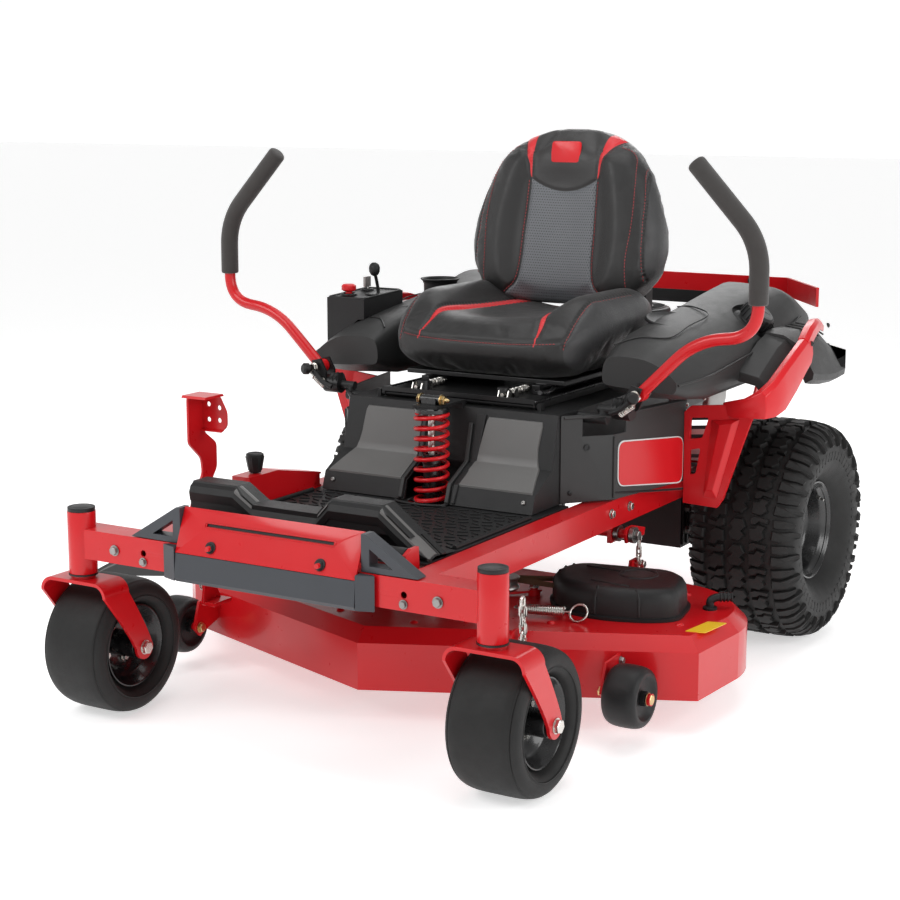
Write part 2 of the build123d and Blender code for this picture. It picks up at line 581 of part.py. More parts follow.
def deck_outline(inset):
    """Add the deck's plan outline to the open sketch, moved in by inset."""
    arc_start, arc_end = 0, 110
    with BuildLine() as outline:
        rear = (SPINDLE_X + DECK_END_R * cos(radians(arc_end)),
                SPINDLE_Y + DECK_END_R * sin(radians(arc_end)))
        front = Polyline((-640, -760), (-555, -855), (20, -1062), (637, -778),
                         (SPINDLE_X + DECK_END_R, SPINDLE_Y))
        left_end = CenterArc((SPINDLE_X, SPINDLE_Y), DECK_END_R, arc_start, arc_end)
        Polyline(left_end @ 1, (182, rear[1] - 54), (-182, rear[1] - 54), (-rear[0], rear[1]))
        right_end = CenterArc((-SPINDLE_X, SPINDLE_Y), DECK_END_R, 180 - arc_end, arc_end)
        Line(right_end @ 1, front @ 0)
    make_face(outline.edges())
    if inset:
        offset(amount=-inset, kind=Kind.INTERSECTION)


with BuildPart() as deck_shell:
    with BuildSketch(Plane.XY.offset(DECK_LIP_Z)):
        deck_outline(0)
    extrude(amount=DECK_BAND_Z - DECK_LIP_Z)
    with BuildSketch(Plane.XY.offset(DECK_BAND_Z)):
        deck_outline(0)
    with BuildSketch(Plane.XY.offset(DECK_TOP_Z)):
        deck_outline(28)
    loft(ruled=True)
    with BuildSketch(Plane.XY.offset(DECK_LIP_Z)):
        deck_outline(DECK_SKIN)
    extrude(amount=DECK_BAND_Z - DECK_LIP_Z - 2, mode=Mode.SUBTRACT)
    with BuildSketch(Plane.XY.offset(DECK_BAND_Z - 2)):
        deck_outline(DECK_SKIN)
    with BuildSketch(Plane.XY.offset(DECK_TOP_Z - DECK_SKIN)):
        deck_outline(28 + DECK_SKIN)
    loft(ruled=True, mode=Mode.SUBTRACT)
    # spindle holes and the discharge opening in the right side
    for x, y in ((SPINDLE_X, SPINDLE_Y), (-SPINDLE_X, SPINDLE_Y), (0, CENTRE_SPINDLE_Y)):
        rod((x, y, 180), (x, y, 210), 45, Mode.SUBTRACT)
    block((-660, -600), (-740, -500), (60, 150), Mode.SUBTRACT)
    # lift posts at the back of the deck
    for side in (LEFT, RIGHT):
        low, high = sorted((side * 328, side * 336))
        side_plate((low, high), [(-470, DECK_TOP_Z), (-414, DECK_TOP_Z), (-418, 246), (-452, 246)])
        rod((side * 336, POST_Y, 241), (side * 344, POST_Y, 241), 3.8)
    # deflector hinge ears and pin
    for y in (-745, -495):
        block((-668, -640), (y - 4, y + 4), (150, 196))
    rod((-656, -749, 184), (-656, -491, 184), 5)
save(deck_shell.part, "deck_shell")

with BuildPart() as spindle_housings:
    for x, y in ((SPINDLE_X, SPINDLE_Y), (-SPINDLE_X, SPINDLE_Y), (0, CENTRE_SPINDLE_Y)):
        rod((x, y, DECK_TOP_Z), (x, y, DECK_TOP_Z + 6), 62)
        rod((x, y, 120), (x, y, DECK_TOP_Z + 12), 36)
        rod((x, y, 119), (x, y, DECK_TOP_Z + 13), 12 + RUN, Mode.SUBTRACT)
save(spindle_housings.part, "spindle_housings")


def blade(x, y, turn):
    """Spindle shaft with its pulley on top and its blade below."""
    with BuildPart() as spindle:
        rod((x, y, 74), (x, y, 252), 12)
        for low, high, radius in ((210.5, BELT_Z - 8, PULLEY_R), (BELT_Z - 8, BELT_Z + 8, PULLEY_R - 8),
                                  (BELT_Z + 8, BELT_Z + 12, PULLEY_R)):
            rod((x, y, low), (x, y, high), radius)
        rod((x, y, BLADE_Z + 6), (x, y, 112), 24)
        with Locations(Location((x, y, BLADE_Z + 3), (0, 0, turn))):
            Box(2 * BLADE_R - 4, 58, 6)
    return spindle.part


save(blade(SPINDLE_X, SPINDLE_Y, 20), "blade_left")
save(blade(0, CENTRE_SPINDLE_Y, 80), "blade_center")
save(blade(-SPINDLE_X, SPINDLE_Y, -35), "blade_right")

with BuildPart() as belt_drive:
    for grow, mode in ((9.0, Mode.ADD), (1.0, Mode.SUBTRACT)):
        with BuildSketch(Plane.XY.offset(BELT_Z - 5)) as loop:
            for x, y in ((SPINDLE_X, SPINDLE_Y), (-SPINDLE_X, SPINDLE_Y), (0, CENTRE_SPINDLE_Y)):
                with Locations((x, y)):
                    Circle(PULLEY_R - 8 + grow)
            make_hull()
        extrude(loop.sketch, amount=10, mode=mode)
    # idler arm with its pulley, pivot and extension spring
    rod((200, -650, DECK_TOP_Z), (200, -650, 214), 12)
    rod((200, -650, 205), (150, -690, 205), 6)
    rod((150, -690, 200), (150, -690, 240), 30)
    rod((330, -905, 214), (250, -905, 214), 9)
save(belt_drive.part, "belt_drive")

with BuildPart() as belt_covers:
    cover = [(236, -640), (256, -560), (468, -520), (520, -560), (545, -680), (406, -748), (300, -735)]
    for side in (LEFT, RIGHT):
        outline = cover if side == LEFT else mirrored(cover)
        flat_plate((DECK_TOP_Z, 262), outline)
        with BuildSketch(Plane.XY.offset(DECK_TOP_Z)) as hollow:
            Polygon(*outline, align=None)
            offset(amount=-4, kind=Kind.INTERSECTION)
        extrude(hollow.sketch, amount=62, mode=Mode.SUBTRACT)
    # way in for the belt
    with BuildSketch(Plane.XY.offset(BELT_Z - 10)) as belt_space:
        for x, y in ((SPINDLE_X, SPINDLE_Y), (-SPINDLE_X, SPINDLE_Y), (0, CENTRE_SPINDLE_Y)):
            with Locations((x, y)):
                Circle(PULLEY_R + 3)
        make_hull()
    extrude(belt_space.sketch, amount=20, mode=Mode.SUBTRACT)
save(belt_covers.part, "belt_covers")

ROLLER_R, ROLLER_Z = 62.0, 102.0
ROLLERS = {"left": (548.0, -905.0, LEFT), "right": (-520.0, -955.0, RIGHT)}
with BuildPart() as roller_brackets:
    for x, y, side in ROLLERS.values():
        low, high = sorted((x - side * 50, x - side * 56))
        side_plate((low, high),
                   [(y, ROLLER_Z - 20), (y - 20, ROLLER_Z), (y, 160), (y + 80, 165), (y + 80, 112),
                    (y + 15, ROLLER_Z - 12)])
        rod((x - side * 50, y, ROLLER_Z), (x + side * 44, y, ROLLER_Z), 8)
        rod((x + side * 40, y, ROLLER_Z), (x + side * 48, y, ROLLER_Z), 12)
    add(deck_shell.part, mode=Mode.SUBTRACT)
save(roller_brackets.part, "roller_brackets")

for word, (x, y, side) in ROLLERS.items():
    with BuildPart() as roller:
        rod((x - 37, y, ROLLER_Z), (x + 37, y, ROLLER_Z), ROLLER_R)
        fillet(roller.edges(), 14)
        rod((x - 40, y, ROLLER_Z), (x + 40, y, ROLLER_Z), 8 + RUN, Mode.SUBTRACT)
    save(roller.part, f"deck_roller_{word}")

# curved chute over the discharge opening, hinged along the deck's right side
HINGE_X, HINGE_Z = -656.0, 184.0
with BuildPart() as discharge_deflector:
    with BuildSketch(Plane.XZ.offset(738)):
        with BuildLine():
            top = ThreePointArc((HINGE_X - 8, 190), (-830, 172), (BOX_RIGHT, 96))
            Line(top @ 1, (BOX_RIGHT + 6, 93))
            under = ThreePointArc((BOX_RIGHT + 6, 93), (-828, 166), (HINGE_X - 8, 184))
            Line(under @ 1, top @ 0)
        make_face()
    extrude(amount=-236)
    # side webs
    for y in (-738, -506):
        front_plate((y, y + 4),
                    [(-670, 186), (-830, 168), (-960, 106), (-940, 96), (-830, 120), (-670, 140)])
    # hinge knuckles
    for y in (-738, -530):
        rod((HINGE_X, y, HINGE_Z), (HINGE_X, y + 28, HINGE_Z), 9)
        block((HINGE_X - 12, HINGE_X), (y, y + 28), (HINGE_Z, HINGE_Z + 9))
    rod((HINGE_X, -745, HINGE_Z), (HINGE_X, -495, HINGE_Z), 5 + RUN, Mode.SUBTRACT)
save(discharge_deflector.part, "discharge_deflector")

# ---- deck lift ----
with BuildPart() as lift_shaft:
    rod((-352, LIFT_Y, LIFT_Z), (352, LIFT_Y, LIFT_Z), 11)
    for side in (LEFT, RIGHT):
        low, high = sorted((side * 346, side * 352))
        side_plate((low, high),
                   [(LIFT_Y - 24, LIFT_Z + 5), (LIFT_Y - 15, LIFT_Z + 18), (LIFT_Y + 14, LIFT_Z + 18),
                    (LIFT_Y + 74, LIFT_Z + 2), (LIFT_Y + 70, LIFT_Z - 14), (LIFT_Y - 18, LIFT_Z - 16)])
save(lift_shaft.part, "lift_shaft")

with BuildPart() as lift_chains:
    # flat chain links, one above the other, the lowest round the post's pin
    for side in (LEFT, RIGHT):
        for step in range(3):
            with BuildSketch(Plane.YZ.offset(side * 338)) as link:
                with Locations((POST_Y, 246 + 22 * step)):
                    SlotOverall(30, 18, rotation=90)
                    SlotOverall(22, 9, rotation=90, mode=Mode.SUBTRACT)
            extrude(link.sketch, amount=side * 4)
save(lift_chains.part, "lift_chains")

with BuildPart() as lift_pedal:
    side_plate((-350, -345),
               [(-1136, 350), (-1104, 350), (-1080, 425), (-1034, 486), (-1034, 538), (-1073, 566),
                (-1073, 646), (-1124, 646), (-1124, 548), (-1084, 512), (-1080, 480), (-1116, 430)])
    # pad with its four lightening holes and top lip, on the stem's rear edge
    block((-350, -284), (-1077, -1073), (572, 648))
    block((-350, -284), (-1136, -1073), (644, 648))
    for x, z in ((-330, 626), (-330, 594), (-300, 626), (-300, 594)):
        rod((x, -1082, z), (x, -1068, z), 5, Mode.SUBTRACT)
    rod((-356, *PEDAL_AXIS), (-339, *PEDAL_AXIS), 20)
    rod((-370, *PEDAL_AXIS), (-330, *PEDAL_AXIS), 9 + RUN, Mode.SUBTRACT)
save(lift_pedal.part, "lift_pedal")

with BuildPart() as height_knob:
    rod((-310, -950, 445), (-310, -950, 470), 6)
    with BuildSketch(Plane.XY.offset(464)) as base:
        with Locations((-310, -950)):
            Circle(13)
    with BuildSketch(Plane.XY.offset(504)) as crown:
        with Locations((-310, -950)):
            Circle(19)
    loft([base.sketch, crown.sketch])
save(height_knob.part, "height_knob")

with BuildPart() as clutch_pulley:
    rod((0, 120, 290), (0, 120, 312), 62)
    rod((0, 120, 312), (0, 120, 355), 50)
    rod((0, 120, 290), (0, 120, 404), 14 + RUN, Mode.SUBTRACT)
save(clutch_pulley.part, "clutch_pulley")
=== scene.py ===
from math import atan2, cos, hypot, pi, radians, sin

import bmesh
import bpy
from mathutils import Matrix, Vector
from mathutils.bvhtree import BVHTree
from mathutils.geometry import tessellate_polygon
from mathutils.kdtree import KDTree


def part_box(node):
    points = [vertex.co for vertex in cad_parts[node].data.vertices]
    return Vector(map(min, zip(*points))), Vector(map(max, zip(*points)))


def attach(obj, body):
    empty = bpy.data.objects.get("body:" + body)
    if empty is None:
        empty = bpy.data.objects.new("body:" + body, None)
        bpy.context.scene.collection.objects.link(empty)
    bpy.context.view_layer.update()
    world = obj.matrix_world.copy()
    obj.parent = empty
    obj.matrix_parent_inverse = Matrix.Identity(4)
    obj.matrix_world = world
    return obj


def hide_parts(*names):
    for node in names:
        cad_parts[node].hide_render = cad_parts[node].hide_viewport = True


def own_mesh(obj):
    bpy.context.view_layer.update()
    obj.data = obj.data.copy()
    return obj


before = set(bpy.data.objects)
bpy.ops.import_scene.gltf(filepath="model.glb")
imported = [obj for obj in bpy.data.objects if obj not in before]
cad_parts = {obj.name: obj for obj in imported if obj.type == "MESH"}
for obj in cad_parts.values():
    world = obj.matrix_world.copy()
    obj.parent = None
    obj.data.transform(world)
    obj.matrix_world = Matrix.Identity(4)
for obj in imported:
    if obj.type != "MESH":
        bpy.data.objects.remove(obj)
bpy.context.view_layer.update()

# Zero turn mower. Everything is written in the machine frame, in millimetres: X = 0 is the centre
# plane with +X the operator's left, the front faces -Y, Y = 0 is the rear axle, Z = 0 the ground.
MM = 0.001
LEFT, RIGHT = 1, -1
SIDES = ((LEFT, "left"), (RIGHT, "right"))
plate_low, plate_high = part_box("seat_plate")
MID_X = (plate_low.x + plate_high.x) / 2
AXLE_Y = plate_low.y + 0.640          # the seat plate's front lip is 640 mm ahead of the rear axle


def at(x, y, z):
    """A machine frame point in the row frame, in metres."""
    return Vector((MID_X + x * MM, AXLE_Y + y * MM, z * MM))


# ---------------------------------------------------------------- materials
def node(tree, kind, **values):
    made = tree.nodes.new(kind)
    for key, value in values.items():
        setattr(made, key, value)
    return made


def noise_node(tree, coords, scale, detail=3.0, rough=0.55):
    made = node(tree, "ShaderNodeTexNoise")
    made.inputs["Scale"].default_value = scale
    made.inputs["Detail"].default_value = detail
    made.inputs["Roughness"].default_value = rough
    tree.links.new(coords, made.inputs["Vector"])
    return made.outputs["Fac"]


def ranged(tree, value, low, high, to_low, to_high):
    made = node(tree, "ShaderNodeMapRange")
    for key, number in (("From Min", low), ("From Max", high), ("To Min", to_low), ("To Max", to_high)):
        made.inputs[key].default_value = number
    tree.links.new(value, made.inputs["Value"])
    return made.outputs["Result"]


def mixed(tree, factor, one, two):
    """A colour mix; one and two are colours or sockets."""
    made = node(tree, "ShaderNodeMix", data_type="RGBA")
    tree.links.new(factor, made.inputs["Factor"])
    for key, value in (("A", one), ("B", two)):
        socket = [s for s in made.inputs if s.name == key and s.type == "RGBA"][0]
        if isinstance(value, tuple):
            socket.default_value = (*value, 1.0)
        else:
            tree.links.new(value, socket)
    return [s for s in made.outputs if s.type == "RGBA"][0]


def math(tree, operation, one, two=None, clamp=False):
    """A maths node; one and two are numbers or sockets."""
    made = node(tree, "ShaderNodeMath", operation=operation, use_clamp=clamp)
    for index, value in enumerate((one, two)):
        if value is None:
            continue
        if isinstance(value, (int, float)):
            made.inputs[index].default_value = value
        else:
            tree.links.new(value, made.inputs[index])
    return made.outputs[0]


def blank(name):
    """A new material's tree, its shader and its object coordinates."""
    made = bpy.data.materials.new(name)
    made.use_nodes = True
    tree = made.node_tree
    shader = tree.nodes["Principled BSDF"]
    coords = node(tree, "ShaderNodeTexCoord").outputs["Object"]
    return made, tree, shader, coords


def bump(tree, height, strength, distance, under=None):
    made = node(tree, "ShaderNodeBump")
    made.inputs["Strength"].default_value = strength
    made.inputs["Distance"].default_value = distance
    tree.links.new(height, made.inputs["Height"])
    if under is not None:
        tree.links.new(under, made.inputs["Normal"])
    return made.outputs["Normal"]


def surface(name, colour, rough, metal=0.0, coat=0.0, coat_rough=0.08, grain=0.0, grain_scale=900.0,
            dark=0.75, spread=0.06, sheen=0.0, specular=0.5):
    """A painted, moulded or metal surface: cloudy colour and roughness, with fine grain."""
    made, tree, shader, coords = blank(name)
    shader.inputs["Metallic"].default_value = metal
    shader.inputs["Coat Weight"].default_value = coat
    shader.inputs["Coat Roughness"].default_value = coat_rough
    shader.inputs["Sheen Weight"].default_value = sheen
    shader.inputs["Specular IOR Level"].default_value = specular
    cloud = noise_node(tree, coords, 9.0, 4.0)
    shade = ranged(tree, cloud, 0.3, 0.7, 0.0, 1.0)
    tone = mixed(tree, shade, tuple(c * dark for c in colour), colour)
    tree.links.new(tone, shader.inputs["Base Color"])
    smear = noise_node(tree, coords, 34.0, 6.0, 0.65)
    tree.links.new(ranged(tree, smear, 0.25, 0.75, rough - spread, rough + spread),
                   shader.inputs["Roughness"])
    if grain:
        fine = noise_node(tree, coords, grain_scale, 2.0, 0.6)
        tree.links.new(bump(tree, fine, grain, 0.0006), shader.inputs["Normal"])
    return made


RED = surface("red_powder_coat", (0.56, 0.006, 0.010), 0.30, coat=0.30, coat_rough=0.12, grain=0.10,
              grain_scale=420.0, dark=0.95, specular=0.28, spread=0.04)
RED_TRIM = surface("red_moulded_trim", (0.60, 0.008, 0.013), 0.32, coat=0.25, coat_rough=0.18, grain=0.06,
                   grain_scale=700.0, dark=0.96, specular=0.28, spread=0.04)
BLACK_PAINT = surface("black_paint", (0.006, 0.006, 0.0065), 0.28, coat=0.40, coat_rough=0.10, grain=0.10,
                      grain_scale=500.0, dark=0.9, spread=0.04)
SATIN_BLACK = surface("satin_black_steel", (0.008, 0.008, 0.0085), 0.40, grain=0.18, grain_scale=650.0,
                      dark=0.9, spread=0.05, specular=0.4)
BLACK_PLASTIC = surface("black_moulded_plastic", (0.010, 0.010, 0.0105), 0.46, grain=0.40,
                        grain_scale=1400.0, dark=0.9, specular=0.35, spread=0.05)
GREY_PLASTIC = surface("grey_moulded_plastic", (0.030, 0.030, 0.030), 0.46, grain=0.40,
                       grain_scale=1300.0, dark=0.94, specular=0.35, spread=0.05)
# painted sheen: a light grey that stands in for the softbox sheen on black plastic faces turned to the
# light, used on the shroud's front facets and the foot rest's slopes
PAINTED_SHEEN_GREY = surface("painted_sheen_grey", (0.115, 0.113, 0.110), 0.40, grain=0.30, grain_scale=1500.0,
                     dark=0.93, spread=0.05)
SLATE = surface("slate_end_cap", (0.036, 0.040, 0.048), 0.36, grain=0.25, grain_scale=1200.0, dark=0.92,
                spread=0.05)
ZINC = surface("zinc_plate", (0.72, 0.70, 0.66), 0.28, metal=1.0, grain=0.15, grain_scale=800.0, dark=0.8,
               spread=0.1)
BRASS = surface("yellow_zinc", (0.68, 0.50, 0.24), 0.30, metal=1.0, grain=0.15, grain_scale=800.0, dark=0.8)
STEEL = surface("bare_steel", (0.36, 0.35, 0.34), 0.38, metal=1.0, grain=0.2, grain_scale=400.0, dark=0.75,
                spread=0.1)
ALLOY = surface("cast_alloy", (0.36, 0.36, 0.37), 0.48, metal=0.85, grain=0.5, grain_scale=600.0, dark=0.8)
RUBBER = surface("tyre_rubber", (0.0095, 0.0092, 0.009), 0.60, grain=0.35, grain_scale=900.0, dark=0.85,
                 spread=0.07, specular=0.35)
BELT = surface("belt_rubber", (0.12, 0.070, 0.032), 0.7, grain=0.5, grain_scale=900.0, dark=0.7)
FOAM = surface("grip_foam", (0.032, 0.028, 0.026), 0.78, grain=0.65, grain_scale=1500.0, dark=0.88,
               sheen=0.25)
YELLOW = surface("plain_yellow_film", (0.80, 0.50, 0.02), 0.35, grain=0.05, dark=0.93)
WHITE = surface("plain_white_film", (0.66, 0.66, 0.65), 0.35, grain=0.05, dark=0.94)
CAP_GREY = surface("cap_face_grey", (0.13, 0.13, 0.13), 0.42, grain=0.5, grain_scale=900.0, dark=0.8)


# ---------------------------------------------------------------- mesh helpers
def piece(name, shape, material, body, bevel=0.0, rings=2, sharp=38.0, replaces=()):
    """A new object from (points in mm, faces), riding on a body."""
    points, faces = shape
    mesh = bpy.data.meshes.new(name)
    mesh.from_pydata([at(*p) for p in points], [], faces)
    work = bmesh.new()
    work.from_mesh(mesh)
    bmesh.ops.remove_doubles(work, verts=work.verts, dist=1e-6)
    bmesh.ops.recalc_face_normals(work, faces=work.faces)
    work.to_mesh(mesh)
    work.free()
    for face in mesh.polygons:
        face.use_smooth = True
    mesh.set_sharp_from_angle(angle=radians(sharp))
    made = bpy.data.objects.new(name, mesh)
    bpy.context.scene.collection.objects.link(made)
    mesh.materials.append(material)
    if bevel:
        edge = made.modifiers.new("edge", "BEVEL")
        edge.width = bevel * MM
        edge.segments = rings
        edge.limit_method = "ANGLE"
        edge.angle_limit = radians(28)
        edge.harden_normals = True
    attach(made, body)
    if replaces:
        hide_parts(*replaces)
    return made


def joined(*shapes):
    """Several shapes as one."""
    points, faces = [], []
    for more_points, more_faces in shapes:
        base = len(points)
        points += [tuple(p) for p in more_points]
        faces += [tuple(base + i for i in f) for f in more_faces]
    return points, faces


ORDER = {"x": lambda a, b, t: (t, a, b), "y": lambda a, b, t: (a, t, b), "z": lambda a, b, t: (a, b, t)}


def plate(axis, low, high, outline, holes=()):
    """A flat plate between two levels on an axis, with holes. Outline points are the two other axes."""
    loops = [list(outline)] + [list(hole) for hole in holes]
    flat = [p for loop in loops for p in loop]
    count = len(flat)
    place = ORDER[axis]
    points = [place(a, b, low) for a, b in flat] + [place(a, b, high) for a, b in flat]
    if holes:
        caps = tessellate_polygon([[Vector((a, b, 0)) for a, b in loop] for loop in loops])
    else:
        caps = [tuple(range(count))]
    faces = [tuple(c) for c in caps] + [tuple(i + count for i in reversed(c)) for c in caps]
    start = 0
    for loop in loops:
        size = len(loop)
        for i in range(size):
            j = (i + 1) % size
            faces.append((start + i, start + j, start + j + count, start + i + count))
        start += size
    return points, faces


def box(x, y, z):
    return plate("z", z[0], z[1], [(x[0], y[0]), (x[1], y[0]), (x[1], y[1]), (x[0], y[1])])


def disc_loop(centre, radius, steps=20):
    return [(centre[0] + radius * cos(2 * pi * i / steps), centre[1] + radius * sin(2 * pi * i / steps))
            for i in range(steps)]


def rounded_loop(points, radius, steps=4):
    """A closed outline with its corners rounded."""
    out, count = [], len(points)
    for i, corner in enumerate(points):
        here = Vector(corner)
        before, after = Vector(points[i - 1]) - here, Vector(points[(i + 1) % count]) - here
        cut = min(radius, before.length * 0.48, after.length * 0.48)
        start, end = here + before.normalized() * cut, here + after.normalized() * cut
        for k in range(steps + 1):
            t = k / steps
            out.append(tuple(start * (1 - t) ** 2 + here * 2 * t * (1 - t) + end * t * t))
    return out


def rounded_path(points, radius, steps=8):
    """An open 3-D route with its corners rounded."""
    route = [Vector(p) for p in points]
    out = [route[0]]
    for before, here, after in zip(route, route[1:], route[2:]):
        one, two = before - here, after - here
        cut = min(radius, one.length * 0.48, two.length * 0.48)
        start, end = here + one.normalized() * cut, here + two.normalized() * cut
        out += [start * (1 - k / steps) ** 2 + here * 2 * (k / steps) * (1 - k / steps) + end
                * (k / steps) ** 2 for k in range(steps + 1)]
    return out + [route[-1]]


def spline(points, per=6):
    """Catmull-Rom samples through the points."""
    rows = [Vector(p) for p in points]
    rows = [rows[0] * 2 - rows[1]] + rows + [rows[-1] * 2 - rows[-2]]
    out = []
    for a, b, c, d in zip(rows, rows[1:], rows[2:], rows[3:]):
        for k in range(per):
            t = k / per
            out.append(0.5 * (2 * b + (c - a) * t + (2 * a - 5 * b + 4 * c - d) * t * t
                              + (3 * b - a - 3 * c + d) * t ** 3))
    return out + [rows[-2]]


def axes(way):
    way = Vector(way).normalized()
    side = way.orthogonal().normalized()
    return way, side, way.cross(side)


def turned(profile, centre, way, steps=48, closed=False):
    """Profile points (along the axis, radius) turned about an axis."""
    way, one, two = axes(way)
    centre = Vector(centre)
    points, size = [], len(profile)
    for k in range(steps):
        turn = 2 * pi * k / steps
        out = one * cos(turn) + two * sin(turn)
        points += [centre + way * a + out * r for a, r in profile]
    faces = []
    for k in range(steps):
        n = (k + 1) % steps
        for i in range(size if closed else size - 1):
            j = (i + 1) % size
            faces.append((k * size + i, k * size + j, n * size + j, n * size + i))
    if not closed:
        for end in (0, size - 1):
            if profile[end][1] > 1e-6:
                faces.append(tuple(k * size + end for k in range(steps)))
    return points, faces


def swept(path, radius, sides=14, closed=False):
    """A round bar along a 3-D path. radius is a number or one for each point."""
    path = [Vector(p) for p in path]
    count = len(path)
    sizes = radius if isinstance(radius, list) else [radius] * count
    points, side = [], None
    for i, here in enumerate(path):
        before = path[i - 1] if i or closed else path[0]
        after = path[(i + 1) % count] if i < count - 1 or closed else path[-1]
        way = (after - before).normalized()
        if side is None:
            side = way.orthogonal().normalized()
        side = (side - way * side.dot(way)).normalized()
        other = way.cross(side)
        points += [here + (side * cos(2 * pi * k / sides) + other * sin(2 * pi * k / sides)) * sizes[i]
                   for k in range(sides)]
    faces = []
    for i in range(count if closed else count - 1):
        n = (i + 1) % count
        faces += [(i * sides + k, i * sides + (k + 1) % sides, n * sides + (k + 1) % sides, n * sides + k)
                  for k in range(sides)]
    if not closed:
        faces += [tuple(range(sides)), tuple((count - 1) * sides + k for k in range(sides))]
    return points, faces


def lofted(sections, caps=True):
    """Closed rings with the same number of points, joined in turn."""
    size = len(sections[0])
    points = [tuple(p) for ring in sections for p in ring]
    faces = []
    for s in range(len(sections) - 1):
        for i in range(size):
            j = (i + 1) % size
            faces.append((s * size + i, s * size + j, (s + 1) * size + j, (s + 1) * size + i))
    if caps:
        faces += [tuple(range(size)), tuple((len(sections) - 1) * size + i for i in range(size))]
    return points, faces


def hexagon(centre, way, across, height, washer=0.0):
    """A hex head or nut with a chamfered top, on an optional washer."""
    radius = across / 1.732
    parts = []
    if washer:
        parts.append(turned([(0, 0.0), (0, washer), (1.6, washer), (1.6, 0.0)], centre, way, 20))
    lift = 1.6 if washer else 0.0
    head = [(lift, 0.0), (lift, radius), (lift + height * 0.82, radius), (lift + height, radius * 0.86),
            (lift + height, 0.0)]
    parts.append(turned(head, centre, way, 6))
    return joined(*parts)


def screw(centre, way, radius, height):
    """A round button head with a socket."""
    return turned([(0, 0.0), (0, radius), (height * 0.55, radius * 0.94), (height, radius * 0.62),
                   (height, radius * 0.36), (height * 0.45, radius * 0.34), (height * 0.45, 0.0)],
                  centre, way, 20)


def helix(centre, way, radius, length, turns, per=18, start=0.0):
    """A coil's centreline, with closed end turns."""
    way, one, two = axes(way)
    centre, count = Vector(centre), int(turns * per)
    out = []
    for i in range(count + 1):
        share = i / count
        eased = min(max((share - 0.06) / 0.88, 0.0), 1.0)
        turn = start + 2 * pi * turns * share
        out.append(centre + way * (eased * length) + (one * cos(turn) + two * sin(turn)) * radius)
    return out


def chain(first, last, count, length, width, wire, twist=0.0):
    """Links between two points, each turned a quarter from the one before."""
    first, last = Vector(first), Vector(last)
    way, one, two = axes(last - first)
    links = []
    for i in range(count):
        middle = first.lerp(last, (i + 0.5) / count)
        turn = twist + (pi / 2) * i
        across = one * cos(turn) + two * sin(turn)
        straight, bend = (length - width) / 2, width / 2 - wire
        loop = []
        for k in range(20):
            angle = 2 * pi * k / 20
            shift = straight if cos(angle) > 0 else -straight
            loop.append(middle + way * (shift + bend * cos(angle)) + across * (bend * sin(angle)))
        links.append(swept(loop, wire, 8, closed=True))
    return joined(*links)


def dress(name, material, bevel=0.0):
    """Give a CAD node its material, and soften its edges."""
    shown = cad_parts[name]
    shown.data.materials.clear()
    shown.data.materials.append(material)
    if bevel:
        merge = shown.modifiers.new("weld", "WELD")
        merge.merge_threshold = 0.00005
        edge = shown.modifiers.new("edge", "BEVEL")
        edge.width = bevel * MM
        edge.segments = 2
        edge.limit_method = "ANGLE"
        edge.angle_limit = radians(35)
        edge.harden_normals = False
    return shown


# ---------------------------------------------------------------- CAD nodes that stay
# material and edge rounding in millimetres of each
DRESSED = {
    "frame_rails": (RED, 1.5), "front_frame": (RED, 1.5), "caster_housings": (RED, 1.0),
    "caster_bearings": (BLACK_PLASTIC, 1.0), "bumper_plate": (RED, 0.8), "bumper_valance": (SLATE, 1.0),
    "transaxles": (SATIN_BLACK, 2.0), "engine_block": (ALLOY, 2.0), "engine_guard": (RED, 1.0),
    "side_panels": (GREY_PLASTIC, 1.5), "floor_pan": (BLACK_PLASTIC, 1.0),
    "seat_shroud": (BLACK_PLASTIC, 2.0), "seat_plate": (SATIN_BLACK, 1.0), "seat_frame": (SATIN_BLACK, 1.5),
    "control_arm_left": (SATIN_BLACK, 1.0), "control_arm_right": (SATIN_BLACK, 1.0),
    "control_console": (BLACK_PLASTIC, 3.0), "ignition_key": (STEEL, 0.8), "deck_shell": (RED, 1.2),
    "spindle_housings": (ALLOY, 1.5), "blade_left": (STEEL, 0.6), "blade_center": (STEEL, 0.6),
    "blade_right": (STEEL, 0.6), "roller_brackets": (RED, 0.8), "discharge_deflector": (GREY_PLASTIC, 1.5),
    "lift_shaft": (RED, 0.8),
}
for name, (material, bevel) in DRESSED.items():
    dress(name, material, bevel)


# ---------------------------------------------------------------- wheels
REAR_X, REAR_RADIUS = 494.0, 254.0
CASTER_X, CASTER_Y, CASTER_RADIUS = 473.0, -1229.0, 139.7
CARCASS_RADIUS = 244.0                # the rear tyre's crown between its lugs
ACROSS = (1, 0, 0)


def mirror_profile(half_profile):
    """A half profile from the outer bead to the crown, completed on the other side."""
    return half_profile + [(-a, r) for a, r in half_profile[::-1] if abs(a) > 1e-6]


def smooth_profile(points, per=5):
    return [(v.x, v.y) for v in spline([(a, r, 0) for a, r in points], per)]


